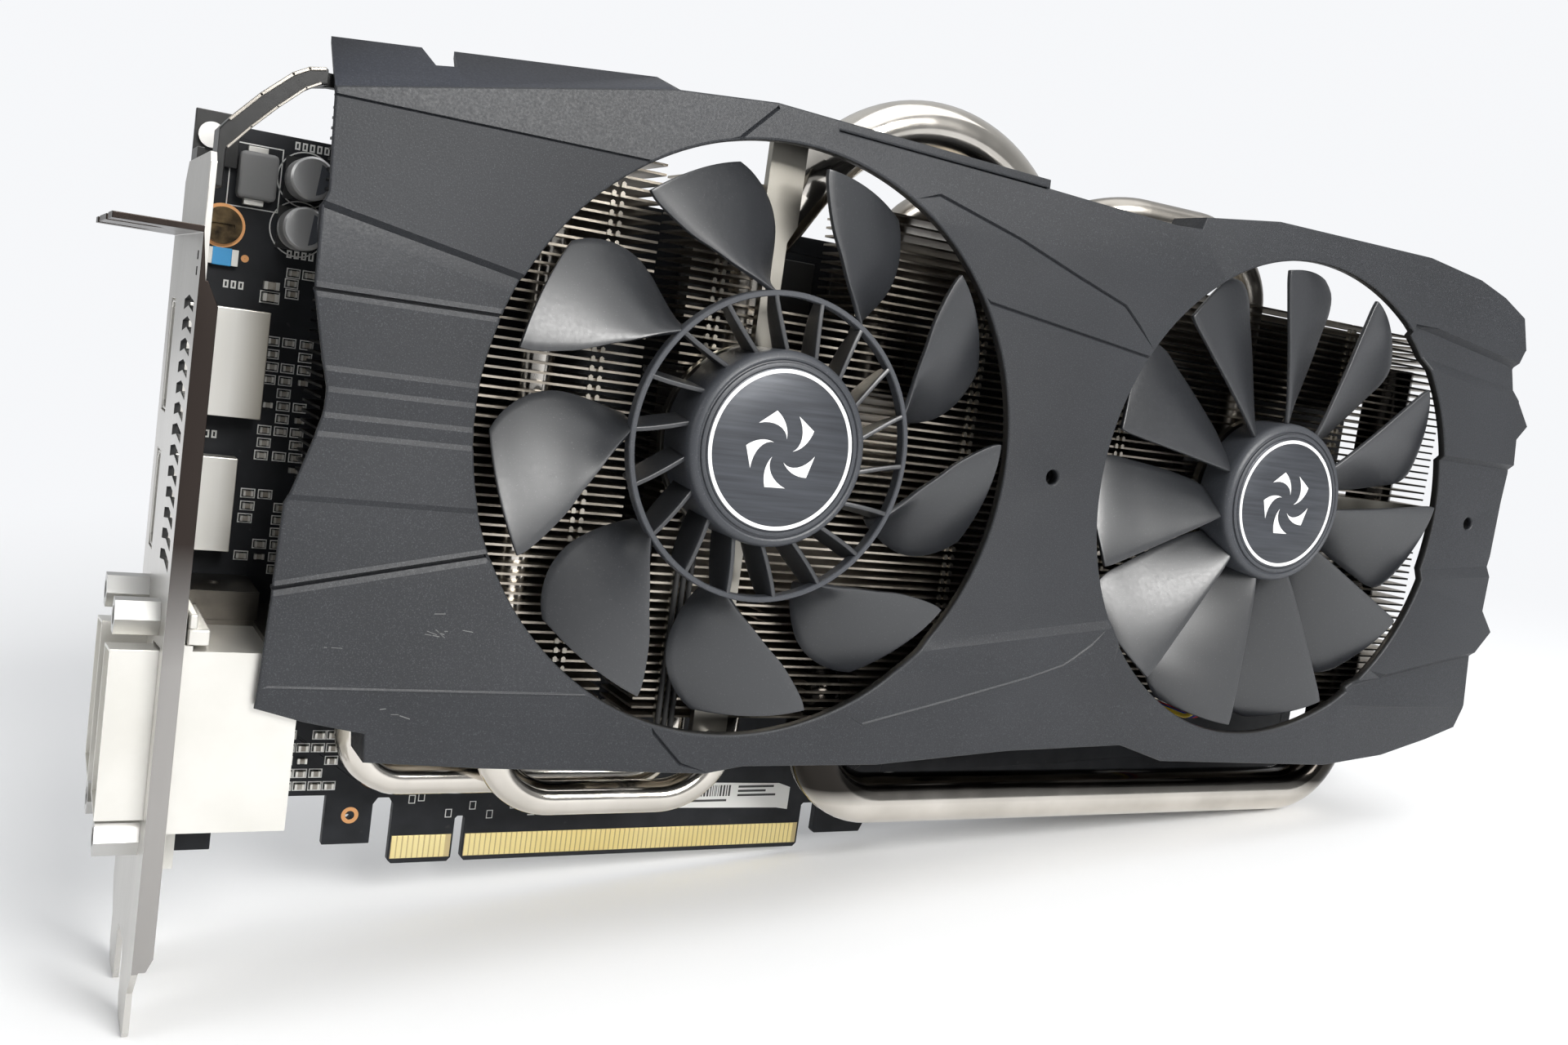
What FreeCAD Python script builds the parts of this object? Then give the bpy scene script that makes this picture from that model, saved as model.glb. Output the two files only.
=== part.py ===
import FreeCAD, Part
import math
import os

V = FreeCAD.Vector
os.makedirs("parts", exist_ok=True)

# Frame, mm: x from the bracket's outer face to the tail, y from the board's component
# face towards its back (the fans face -y), z up from the bottom of the gold edge.


# ---------------------------------------------------------------- helpers
def box(x0, x1, y0, y1, z0, z1):
    return Part.makeBox(x1 - x0, y1 - y0, z1 - z0, V(x0, y0, z0))


def cyl_y(x, z, r, y0, y1):
    return Part.makeCylinder(r, y1 - y0, V(x, y0, z), V(0, 1, 0))


def cyl_x(y, z, r, x0, x1):
    return Part.makeCylinder(r, x1 - x0, V(x0, y, z), V(1, 0, 0))


def tube_y(x, z, r_in, r_out, y0, y1):
    return cyl_y(x, z, r_out, y0, y1).cut(cyl_y(x, z, r_in, y0 - 1, y1 + 1))


def prism_xz(points, y0, y1):
    wire = Part.makePolygon([V(x, y0, z) for x, z in points] + [V(points[0][0], y0, points[0][1])])
    return Part.Face(wire).extrude(V(0, y1 - y0, 0))


def prism_yz(points, x0, x1):
    wire = Part.makePolygon([V(x0, y, z) for y, z in points] + [V(x0, points[0][0], points[0][1])])
    return Part.Face(wire).extrude(V(x1 - x0, 0, 0))


def fuse(shapes):
    body = shapes[0].multiFuse(shapes[1:]) if len(shapes) > 1 else shapes[0]
    return body.removeSplitter()


def rounded_path(points, radii):
    """Polyline through the points with its inner corners rounded."""
    pts = [V(*p) for p in points]
    edges = []
    start = pts[0]
    for i in range(1, len(pts) - 1):
        a = (pts[i - 1] - pts[i]).normalize()
        b = (pts[i + 1] - pts[i]).normalize()
        half = a.getAngle(b) / 2
        run = radii[i - 1] / math.tan(half)
        t0 = pts[i] + a * run
        t1 = pts[i] + b * run
        centre = pts[i] + (a + b).normalize() * (radii[i - 1] / math.sin(half))
        mid = centre + (pts[i] - centre).normalize() * radii[i - 1]
        edges.append(Part.makeLine(start, t0))
        edges.append(Part.Arc(t0, mid, t1).toShape())
        start = t1
    edges.append(Part.makeLine(start, pts[-1]))
    return Part.Wire(edges)


def pipe(points, radii, r):
    path = rounded_path(points, radii)
    first = V(*points[1]) - V(*points[0])
    ring = Part.Wire([Part.makeCircle(r, V(*points[0]), first)])
    return path.makePipeShell([ring], True, False)


def save(node, shape):
    solids = shape if isinstance(shape, list) else [shape]
    flat = []
    for item in solids:
        flat += item.Solids
    Part.makeCompound(flat).exportStep("parts/%s.step" % node)
    print(node, len(flat), all(s.isValid() for s in flat))


# ---------------------------------------------------------------- driving dimensions
PCB_T = 1.6
PCB_END = 270.5
PCB_TOP = 123.9
SHEET = 0.9                       # bracket steel
NEAR, FAR = -34.6, 4.1            # bracket edges in y
TAB_Z = 106.4                     # top of the slot bracket's tab
TIP_Z = TAB_Z - 120.02
SLOT = 20.32                      # slot pitch

FRONT = -35.0                     # shroud front face
WALL = 1.6
MID_Z = 84.7                      # fan centre height
LEFT = (92.3, MID_Z)              # fan axes
RIGHT = (215.6, MID_Z + 0.4)
OPEN_LEFT = (91.1, MID_Z)         # the left opening sits a little off its fan's axis
OPEN_R = 50.4
BLADE_FRONT, BLADE_BACK = -34.4, -27.0
FRAME_Y0, FRAME_Y1 = -26.0, -24.4

FIN_FRONT, FIN_BACK = -23.0, -8.0
FIN_T, FIN_PITCH = 0.4, 1.6

GPU = (109.0, 76.0)
BASE = (84.0, 134.0, -12.2, -2.0, 56.0, 96.0)

# heat pipes: points, bend radii, pipe radius
PIPES = {
    "heatpipe_a": ([(91, -6.5, 74), (91, -6.5, 46), (91, -12, 35), (91, -12, 20.2),
                    (33, -12, 20.2), (33, -12, 122)], [5, 5, 9, 9], 3.0),
    "heatpipe_b": ([(99, -6.5, 74), (99, -6.5, 48), (99, -18.3, 36), (99, -18.3, 18.1),
                    (54.7, -18.3, 18.1), (54.7, -18.3, 122)], [6, 6, 12, 12], 3.0),
    "heatpipe_c": ([(118.8, -7.1, 74), (118.8, -7.1, 48), (118.8, -17, 37.5), (118.8, -17, 16.3),
                    (263, -17, 16.3), (263, -17, 118)], [8, 8, 15, 15], 5.0),
    "heatpipe_d": ([(97, -7.1, 78), (97, -7.1, 118), (103, -15, 132.7), (129, -15, 162),
                    (161, -15, 125.5), (161, -15, 46)], [9, 8, 30, 20], 5.0),
    "heatpipe_e": ([(126, -6.2, 78), (126, -6.2, 134), (158, -6.2, 134), (176, -15, 140.2),
                    (200, -16, 140.2), (215, -16, 131.5), (215, -16, 46)], [12, 20, 20, 14, 12], 3.0),
}


# ---------------------------------------------------------------- board
def make_pcb():
    outline = [(1.2, 9.5), (8.4, 9.5), (8.4, 3.9), (14.1, 3.9), (14.1, 13), (32.6, 13), (32.6, 4),
               (40.9, 4), (40.9, 11.2),
               (41.7, 12.4), (43.7, 12.4), (44.5, 11.2), (44.5, 0.7), (45.2, 0), (55.5, 0),
               (56.15, 0.7), (56.15, 8.1), (56.6, 8.6), (57.6, 8.6), (58.05, 8.1), (58.05, 0.7),
               (58.7, 0), (129.0, 0), (129.7, 0.7), (129.7, 8.9), (130.2, 9.4), (132.7, 9.4),
               (133.2, 8.9), (133.2, 3.3), (133.7, 2.8), (144.8, 2.8), (146.2, 5.8), (147.5, 13),
               (150, 15), (PCB_END, 15), (PCB_END, PCB_TOP), (1.2, PCB_TOP)]
    board = prism_xz(outline, 0, PCB_T)
    holes = [cyl_y(36.6, 9.0, 0.5, -1, 3), cyl_y(6.4, 108.1, 1.7, -1, 3), cyl_y(3.4, 121.6, 1.3, -1, 3)]
    holes += [cyl_y(x, z, 1.6, -1, 3) for x, z in RETENTION]
    holes += [cyl_y(x, z, 1.4, -1, 3) for x, z in PLATE_SCREWS]
    return board.cut(Part.makeCompound(holes))


RETENTION = [(86.2, 58.5), (131.8, 58.5), (86.2, 93.5), (131.8, 93.5)]
PLATE_SCREWS = [(24, 118), (24, 24), (150, 118), (150, 22), (266, 118), (266, 22)]


def make_contacts():
    rows = []
    for y0, y1 in ((-0.1, 0.0), (PCB_T, PCB_T + 0.1)):
        for x0, x1 in ((44.9, 55.8), (58.4, 129.3)):
            strip = box(x0, x1, y0, y1, 0.9, 5.2)
            gaps = [box(x - 0.15, x + 0.15, y0 - 1, y1 + 1, 1.7, 6)
                    for x in [x0 + 1.0 * (k + 1) - 0.1 for k in range(int(x1 - x0))]]
            rows.append(strip.cut(Part.makeCompound(gaps)))
    return rows


# ---------------------------------------------------------------- slot bracket
DVI_Y = (-7.4, -7.4 - 18.4)       # slot-1 and slot-2 connector rows
DVI_Z = 33.0
JACK = 16.66
DVI_JACKS = [(y, DVI_Z + s * JACK) for y in DVI_Y for s in (-1, 1)]
DP = (-6.6, -0.7, 78.2, 95.4)     # y0, y1, z0, z1
HDMI = (-6.2, -0.7, 56.4, 71.6)


def d_profile(y, z, half_y, half_z, cant):
    """D outline in y,z: narrower on the board side."""
    return [(y - half_y, z - half_z), (y + half_y, z - half_z + cant), (y + half_y, z + half_z - cant),
            (y - half_y, z + half_z)]


def make_bracket():
    t1, t2 = (-10.2, 0.0), (-10.2 - SLOT, -SLOT)
    outline = [(NEAR, -1.6), (NEAR, 115.2), (-33.4, 116.6), (-7.6, 116.6), (-4.6, 113.6), (-4.6, TAB_Z),
               (FAR, TAB_Z), (FAR, -1.6), (t1[1], -6.3), (t1[1], TIP_Z + 2.4), (t1[1] - 2.2, TIP_Z),
               (t1[0] + 1.0, TIP_Z), (t1[0], TIP_Z + 1.0), (t1[0], -5.4), (t1[0] - 1.6, -3.4),
               (t2[1] + 1.6, -3.4), (t2[1], -5.4), (t2[1], TIP_Z + 2.4), (t2[1] - 2.2, TIP_Z),
               (t2[0] + 1.0, TIP_Z), (t2[0], TIP_Z + 1.0), (t2[0], -6.3)]
    plate = prism_yz(outline, 0, SHEET)
    tab = box(-11.43, SHEET, NEAR, FAR, TAB_Z - SHEET, TAB_Z)
    notches = []
    for y in (-3.2, -3.2 - SLOT):
        notches.append(Part.makeCylinder(2.25, 4, V(-6.4, y, TAB_Z - 2), V(0, 0, 1)))
        notches.append(box(-12, -6.4, y - 2.25, y + 2.25, TAB_Z - 2, TAB_Z + 2))
    tab = tab.cut(Part.makeCompound(notches))
    flange = prism_xz([(0, -1.4), (1.9, -1.4), (2.8, 0.6), (2.8, 95.6), (1.2, 99), (0, 99)],
                      NEAR, NEAR + SHEET)
    body = fuse([plate, tab, flange])
    cuts = [box(-1, 2, DP[0] - 0.25, DP[1] + 0.25, DP[2] - 0.25, DP[3] + 0.25),
            box(-1, 2, HDMI[0] - 0.25, HDMI[1] + 0.25, HDMI[2] - 0.25, HDMI[3] + 0.25)]
    for y in DVI_Y:
        cuts.append(prism_yz(d_profile(y, DVI_Z, 5.1, 13.1, 1.2), -1, 2))
    for y, z in DVI_JACKS:
        cuts.append(cyl_x(y, z, 1.9, -1, 2))
    for k in range(13):
        z = 57.2 + k * 3.1
        cuts.append(prism_yz([(-31.0, z), (-31.0, z + 1.5), (-24.8, z + 2.3), (-19.2, z + 1.5),
                              (-19.2, z), (-24.8, z + 0.8)], -1, 2))
    for z in (101.8, 99.6):
        cuts.append(box(-1, 2, -31.4, -29.8, z, z + 1.2))
    return body.cut(Part.makeCompound(cuts))


def make_brace():
    """Bent strip from the bracket's top corner to the shroud's corner, with its foot."""
    strip = prism_xz([(SHEET, 112), (2.0, 112), (2.0, 117.2), (4.9, 120.6), (8.1, 124.0), (11.6, 127.3),
                      (13.2, 128.3), (15.2, 128.7), (22, 129.0), (22, 130.6), (15.2, 130.7), (13.6, 130.8),
                      (11.8, 130.4), (9.7, 129.2), (5.8, 125.6), (2.2, 121.6), (SHEET, 119.9)], -33.2, -27.5)
    return strip.cut(box(14.4, 23, -34, -30.0, 128, 132))    # clears the shroud's leaning corner


def make_corner_ear():
    ear = box(SHEET, 7.6, -1.3, -0.3, 117.2, 125.4)
    fold = box(SHEET, 1.9, -8.0, -0.3, 112.0, 119.0)
    return fuse([ear, fold]).cut(cyl_y(3.4, 121.6, 1.3, -2, 1))


# ---------------------------------------------------------------- video connectors
def make_dvi_housing():
    body = box(0.95, 19.6, -32.7, -0.3, 18.9, 47.0)
    shelf = box(0.95, 15.5, -14.5, -0.3, 47.0, 51.6)
    ears = box(0.95, 3.2, -31.6, -1.4, 12.6, 53.4)
    foot = box(4.2, 8.2, -2.4, -0.3, 1.7, 19.0)
    shape = fuse([body, shelf, ears, foot])
    cuts = [cyl_x(y, z, 1.75, 0, 9) for y, z in DVI_JACKS]
    cuts += [box(4.2, 15, -32.8, -14.6, 46.2, 48)]
    cuts += [Part.makeSphere(1.3, V(9.5, -7.5, 52.2))]
    return shape.cut(Part.makeCompound(cuts))


def make_dvi_shells():
    shells = []
    for y in DVI_Y:
        outer = prism_yz(d_profile(y, DVI_Z, 4.7, 12.7, 1.2), -6.5, 0.95)
        inner = prism_yz(d_profile(y, DVI_Z, 4.2, 12.2, 1.15), -7, 0.95)
        shells.append(outer.cut(inner))
    return shells


def make_dvi_inserts():
    blocks = []
    for y in DVI_Y:
        block = prism_yz(d_profile(y, DVI_Z, 4.1, 12.1, 1.15), -5.0, 0.95)
        holes = [box(-6, -1.5, y + dy - 0.45, y + dy + 0.45, z - 0.45, z + 0.45)
                 for dy in (-2.4, 0, 2.4) for z in [DVI_Z - 9.2 + 1.9 * k for k in range(8)]]
        holes.append(box(-6, -1.5, y - 2.6, y + 2.6, DVI_Z + 8.0, DVI_Z + 8.5))
        blocks.append(block.cut(Part.makeCompound(holes)))
    return blocks


def make_jackscrews():
    out = []
    for y, z in DVI_JACKS:
        r = 2.5 / math.cos(math.pi / 6)
        hexagon = prism_yz([(y + r * math.cos(math.radians(60 * k)), z + r * math.sin(math.radians(60 * k)))
                            for k in range(6)], -6.1, 0)
        stud = cyl_x(y, z, 1.6, -0.5, 3.0)
        out.append(fuse([hexagon, stud]).cut(cyl_x(y, z, 1.42, -7, -0.6)))
    return out


def shell_socket(spec, depth, cant):
    y0, y1, z0, z1 = spec
    outer = prism_yz([(y0, z0), (y1 - cant, z0), (y1, z0 + cant), (y1, z1 - cant), (y1 - cant, z1), (y0, z1)],
                     0.1, depth)
    t = 0.4
    inner = prism_yz([(y0 + t, z0 + t), (y1 - cant, z0 + t), (y1 - t, z0 + cant), (y1 - t, z1 - cant),
                      (y1 - cant, z1 - t), (y0 + t, z1 - t)], -1, depth - 0.6)
    return outer.cut(inner)


# ---------------------------------------------------------------- shroud
OUTLINE = [(15.2, 128.5), (15.8, 114), (15.1, 112), (15.4, 99.8), (17.4, 90.4), (18.4, 86.4), (18.4, 83),
           (17.4, 79), (14.8, 70.4), (14.2, 69), (13.8, 56), (13.1, 38.3),
           (20.3, 36.2), (29.5, 34.3), (30, 29.6), (49, 28.4), (89, 27), (96, 28.3), (124, 28.3),
           (154, 30.9), (182.6, 32),
           (195, 28.4), (245, 27), (264, 29.2), (278, 33.1), (287, 36.2), (288.4, 42), (288.0, 54.6),
           (292.6, 60), (288.0, 65), (288.0, 73), (288.8, 78), (288.8, 91), (289.2, 98), (288.0, 106),
           (291.0, 109.4), (286.2, 114.6), (283.5, 121.8), (285.2, 126.6), (283.3, 133.8),
           (275.7, 137.4), (266.7, 140), (249, 142.2), (202, 141.9), (181.6, 139.2), (180.6, 136.8),
           (174.9, 136.4), (151.8, 137.2), (142.4, 137.6), (142.4, 139.2), (96.5, 140.6), (85, 141.0),
           (66.7, 139.2)]


def make_shroud():
    plate = prism_xz(OUTLINE, FRONT, FRONT + WALL)
    outer = prism_xz(OUTLINE, FRONT + WALL, -24.5)
    wire = Part.makePolygon([V(x, FRONT, z) for x, z in OUTLINE] + [V(OUTLINE[0][0], FRONT, OUTLINE[0][1])])
    inner = Part.Face(wire.makeOffset2D(-WALL, 2)).extrude(V(0, 20, 0))
    rim = outer.cut(inner)
    rim = rim.cut(Part.makeCompound([
        box(10, 26, FRONT + WALL, -20, 30, 96),          # open side over the connectors
        box(10, 24, FRONT + WALL, -20, 96, 132),         # open side over the bracket brace
        box(24, 70, FRONT + WALL, -20, 128, 145),        # the bevelled corner closes this side
        box(96.6, 142.3, FRONT + WALL, -20, 138.2, 145),  # slot under the raised lip
    ]))
    # bevelled top corner, leaning back from the front plate
    low0, low1 = V(15.3, FRONT + 0.1, 127.9), V(66.7, FRONT + 0.1, 138.6)
    top0, top1 = V(15.6, -26.5, 137.2), V(66.7, -26.5, 142.6)
    back = V(0, 1.4, -0.6)
    sheet = Part.makeLoft([Part.makePolygon([p, q, q + back, p + back, p])
                           for p, q in ((low0, low1), (top0, top1))], True, True)
    notch = prism_xz([(28.4, 150), (30.2, 136.6), (33.2, 136.9), (33.2, 150)], -31, -20)
    bevel = sheet.cut(notch)
    lip = prism_xz([(96.5, 139.4), (142.4, 138.0), (142.4, 139.4), (96.5, 140.8)], FRONT - 0.1, -26.0)
    posts = [tube_y(x, z, 1.3, 3.4, FRONT + 0.4, FRAME_Y0) for x, z in RIGHT_POSTS + LEFT_POSTS]
    body = fuse([plate, rim, bevel, lip] + posts)
    # pressed front: raised bands and ribs, mirrored about the fan centre line
    raised = []
    for s in (1, -1):
        def zz(dz):
            return MID_Z + s * dz
        raised.append([(15.9, zz(42.2)), (60.5, zz(42.2)), (45.2, zz(22.9)), (16.4, zz(27.0))])
        raised.append([(15.9, zz(14.6)), (43.3, zz(14.6)), (41.2, zz(6.0)), (18.6, zz(6.0))])
        raised.append([(252.6, zz(34.4)), (285.0, zz(31.0)), (286.5, zz(23.4)), (266.2, zz(23.4))])
        raised.append([(266.8, zz(14.0)), (287.4, zz(14.0)), (287.4, zz(5.0)), (268.0, zz(5.0))])
    for z in (88.95, 86.0, 82.25, 79.45):
        raised.append([(18.9, z - 0.35), (41.6, z - 0.35), (41.6, z + 0.35), (18.9, z + 0.35)])
    raised.append([(131.0, 30.6), (155.5, 46.2), (163.0, 49.0), (169.0, 53.2), (172.2, 58.1),
                   (132.4, 52.8), (121.0, 42.0)])
    raised.append([(132.0, 127.0), (151.4, 122.6), (163.8, 118.8), (168.2, 115.6), (171.6, 110.4),
                   (141.0, 114.6)])
    pads = [prism_xz(p, FRONT - 0.55, FRONT + 0.3) for p in raised]
    body = fuse([body] + pads)
    openings = [cyl_y(x, z, OPEN_R, -40, -26.2) for x, z in (OPEN_LEFT, RIGHT)]
    openings += [cyl_y(x, z, 1.5, FRONT - 2, FRONT + 2) for x, z in RIGHT_POSTS]
    openings += [prism_xz([(96.6, 138.3), (142.3, 136.9), (142.3, 138.0), (96.6, 139.4)], FRONT - 1, -30),
                 prism_xz([(96.4, 28.8), (124, 28.8), (124, 29.4), (96.4, 29.4)], FRONT - 1, FRONT + 0.6)]
    return body.cut(Part.makeCompound(openings))


RIGHT_POSTS = [(152.9, RIGHT[1]), (278.3, RIGHT[1])]
LEFT_POSTS = [(LEFT[0], MID_Z + 53.2), (LEFT[0], MID_Z - 53.2)]


def make_shroud_screws():
    out = []
    for x, z in RIGHT_POSTS + LEFT_POSTS:
        head = cyl_y(x, z, 2.4, FRAME_Y1, FRAME_Y1 + 1.0)
        slot = fuse([box(x - 1.3, x + 1.3, FRAME_Y1 + 0.6, FRAME_Y1 + 2, z - 0.3, z + 0.3),
                     box(x - 0.3, x + 0.3, FRAME_Y1 + 0.6, FRAME_Y1 + 2, z - 1.3, z + 1.3)])
        out.append(fuse([head, cyl_y(x, z, 1.1, -31.0, FRAME_Y1 + 0.2)]).cut(slot))
    return out


# ---------------------------------------------------------------- cooler
def fin_stack(x0, x1, z0, z1, holes, keepouts, tabs):
    """Flat plates stacked in z. keepouts: (x0, x1, y0, y1, z0, z1)."""
    plates, cache = [], {}
    count = int((z1 - z0) / FIN_PITCH)
    for k in range(count + 1):
        z = z0 + k * FIN_PITCH
        active = tuple(i for i, c in enumerate(keepouts) if c[4] - 0.3 < z + FIN_T and z < c[5] + 0.3)
        if active not in cache:
            plate = box(x0, x1, FIN_FRONT, FIN_BACK, 0, FIN_T)
            cuts = [Part.makeCylinder(r, 2, V(x, y, -1), V(0, 0, 1)) for x, y, r in holes]
            cuts += [box(keepouts[i][0], keepouts[i][1], keepouts[i][2], keepouts[i][3], -1, 2) for i in active]
            cuts += [box(x - 0.35, x + 0.35, FIN_FRONT - 1, FIN_FRONT + 0.5, -1, 2) for x in tabs]
            cache[active] = plate.cut(Part.makeCompound(cuts)) if cuts else plate
        copy = cache[active].copy()
        copy.translate(V(0, 0, z))
        plates.append(copy)
    return plates


def make_base():
    block = box(*BASE)
    bores = []
    for name, (points, radii, r) in PIPES.items():
        x, y, z = points[0]
        z_out = BASE[4] - 1 if z < 76 else BASE[5] + 1
        bores.append(Part.makeCylinder(r + 0.03, abs(z_out - z), V(x, y, min(z, z_out)), V(0, 0, 1)))
    bores += [cyl_y(x, z, 1.35, -9.2, 0) for x, z in RETENTION]
    return block.cut(Part.makeCompound(bores))


def make_vrm_sink():
    block = box(180.5, 195.5, -7.4, -1.25, 30, 112)
    grooves = [box(x, x + 1.2, -8, -3.2, 29, 113) for x in (182.6, 185.8, 189.0, 192.2)]
    return block.cut(Part.makeCompound(grooves))


# ---------------------------------------------------------------- fans
def blade(centre, theta, stations, y_lead, y_trail, thick):
    """Twisted blade through (radius, leading angle, trailing angle) stations; its leading
    (counter-clockwise) edge is nearest the front."""
    def edge(r, degrees, y):
        a = math.radians(degrees)
        return V(centre[0] + r * math.cos(a), y, centre[1] + r * math.sin(a))

    wires = []
    for r, lead, trail in stations:
        p, q = edge(r, theta + lead, y_lead), edge(r, theta + trail, y_trail)
        mean = math.radians(theta + (lead + trail) / 2)
        n = (q - p).cross(V(math.cos(mean), 0, math.sin(mean))).normalize() * (thick / 2)
        wires.append(Part.makePolygon([p - n, q - n, q + n, p + n, p - n]))
    return Part.makeLoft(wires, True, False)


def hub_cup(cx, cz, r, y_front, y_back):
    prof = [(0, y_front), (r - 1.6, y_front), (r - 1.4, y_front + 0.5), (r - 0.6, y_front + 0.8),
            (r, y_front + 1.8), (r, y_back), (r - 1.6, y_back), (r - 1.6, y_front + 1.4), (1.5, y_front + 1.4),
            (1.5, y_front + 1.0), (0, y_front + 1.0)]
    wire = Part.makePolygon([V(cx + a, b, cz) for a, b in prof] + [V(cx + prof[0][0], prof[0][1], cz)])
    return Part.Face(wire).revolve(V(cx, 0, cz), V(0, 1, 0), 360)


HUB_R = 16.8
RING = (25.4, 26.5, -35.8, -33.6)           # inner and outer radius, y0, y1
LEFT_HUB, RIGHT_HUB = -37.8, -35.4          # front faces of the hubs
PETALS, LEFT_PHASE = 9, 6.5                 # angle of a leading tip
BLADES, RIGHT_PHASE = 11, 3.6
PETAL = [(25.0, -29, -32.5), (31, -15, -33.5), (38, -5, -33.5), (43, -1.5, -30), (47.5, 0, -23.5)]
VANE = [(16.0, 11.5, 3.5), (21.0, 15.5, 8.0), (26.0, 18.0, 11.0)]
BLADE = [(16.0, -4, -18), (25, -1.5, -24), (34, 0, -26), (43, 0.3, -26), (48.7, 0, -19)]


def make_left_impeller():
    parts = [hub_cup(LEFT[0], LEFT[1], HUB_R, LEFT_HUB, -27.0), tube_y(LEFT[0], LEFT[1], *RING)]
    for k in range(PETALS):
        parts.append(blade(LEFT, LEFT_PHASE + 360 / PETALS * k, PETAL, BLADE_FRONT, BLADE_BACK, 1.1))
    for k in range(2 * PETALS):
        parts.append(blade(LEFT, 180 / PETALS * k, VANE, -35.6, -28.6, 0.9))
    return fuse(parts)


def make_right_impeller():
    parts = [hub_cup(RIGHT[0], RIGHT[1], HUB_R, RIGHT_HUB, -27.0)]
    for k in range(BLADES):
        parts.append(blade(RIGHT, RIGHT_PHASE + 360 / BLADES * k, BLADE, BLADE_FRONT, BLADE_BACK, 1.1))
    return fuse(parts)


def motor(side, centre, y_front):
    """Magnet ring, shaft, bearing and stator under a hub whose front is y_front."""
    cx, cz = centre
    save(side + "_fan_label", cyl_y(cx, cz, 14.0, y_front - 0.2, y_front))
    save(side + "_fan_magnet", tube_y(cx, cz, 13.4, 15.1, y_front + 2.0, -27.6))
    save(side + "_fan_shaft", cyl_y(cx, cz, 1.5, y_front + 1.0, -26.3))
    save(side + "_fan_bearing", tube_y(cx, cz, 1.54, 3.2, y_front + 2.6, FRAME_Y0))
    core = tube_y(cx, cz, 3.2, 6.6, y_front + 2.9, -28.0)
    poles = []
    for k in range(4):
        a = 45 + 90 * k
        arm = box(cx + 6.0, cx + 10.6, y_front + 3.4, -28.5, cz - 2.6, cz + 2.6)
        shoe = tube_y(cx, cz, 10.4, 12.6, y_front + 3.4, -28.5).common(
            box(cx + 5, cx + 14, -40, -20, cz - 6.2, cz + 6.2))
        pole = fuse([arm, shoe])
        pole.rotate(V(cx, 0, cz), V(0, 1, 0), a)
        poles.append(pole)
    save(side + "_fan_stator", fuse([core] + poles))


def make_left_frame():
    cx, cz = LEFT
    disc = cyl_y(cx, cz, 17.0, FRAME_Y0, FRAME_Y1)
    arms = []
    for s in (1, -1):
        arms.append(prism_xz([(cx - 1.8, cz), (cx + 1.8, cz), (cx + 1.8, cz + s * 35), (cx + 3.4, cz + s * 38),
                              (cx + 3.4, cz + s * 54.1), (cx - 3.4, cz + s * 54.1), (cx - 3.4, cz + s * 38),
                              (cx - 1.8, cz + s * 35)], FRAME_Y0, FRAME_Y1))
    pad = box(LEADS_X[0] - 0.9, LEADS_X[0] + 3.5, FRAME_Y1, FRAME_Y1 + 1.2, LEADS_TOP, LEADS_TOP + 3)
    body = fuse([disc, pad] + arms)
    return body.cut(Part.makeCompound([cyl_y(x, z, 1.2, -30, -20) for x, z in LEFT_POSTS]))


def make_right_frame():
    cx, cz = RIGHT
    disc = cyl_y(cx, cz, 17.0, FRAME_Y0, FRAME_Y1)
    arms = [box(RIGHT_POSTS[0][0] - 3, RIGHT_POSTS[1][0] + 3, FRAME_Y0, FRAME_Y1, cz - 2.4, cz + 2.4)]
    pad = box(LEADS_X[1] - 0.9, LEADS_X[1] + 3.5, FRAME_Y1, FRAME_Y1 + 1.2, LEADS_TOP, LEADS_TOP + 3)
    body = fuse([disc, pad] + arms)
    return body.cut(Part.makeCompound([cyl_y(x, z, 1.2, -30, -20) for x, z in RIGHT_POSTS]))


LEADS_X = (83.0, 212.6)           # first of three wires, left and right fan
LEADS_TOP = 73.0
LEADS_Z = (28.9, 34.6)            # height of the board headers
LEAD_PITCH, LEAD_R = 1.3, 0.5
HEADER_FRONT = -6.2


def make_leads():
    wires = []
    for x0, z in zip(LEADS_X, LEADS_Z):
        for k in range(3):
            x = x0 + LEAD_PITCH * k
            route = [(x, -23.7, LEADS_TOP), (x, -23.7, z), (x, HEADER_FRONT, z)]
            wires.append(pipe(route, [4.0], LEAD_R))
            print("lead length", round(rounded_path(route, [4.0]).Length, 1))
    return wires


def make_headers():
    return [box(x - 1.2, x + 3.8, HEADER_FRONT, 0, z - 2.3, z + 2.3) for x, z in zip(LEADS_X, LEADS_Z)]


# ---------------------------------------------------------------- power sockets
SOCKETS = {"power_socket_8": (239.0, 4), "power_socket_6": (220.5, 3)}


def make_socket(x0, ways):
    width = ways * 4.2 + 1.4
    body = box(x0, x0 + width, -12.4, 0, 107.0, 124.6)
    cuts, pins = [], []
    for i in range(ways):
        for j in range(2):
            x = x0 + 0.7 + 2.1 + 4.2 * i
            y = -3.9 - 4.4 * j
            cuts.append(box(x - 1.75, x + 1.75, y - 1.8, y + 1.8, 112.0, 126))
            pins.append(box(x - 0.55, x + 0.55, y - 0.55, y + 0.55, 112.0, 122.0))
    latch = box(x0 + width / 2 - 1.8, x0 + width / 2 + 1.8, -13.2, -12.4, 118, 123)
    return fuse([body, latch]).cut(Part.makeCompound(cuts)), pins


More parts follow.
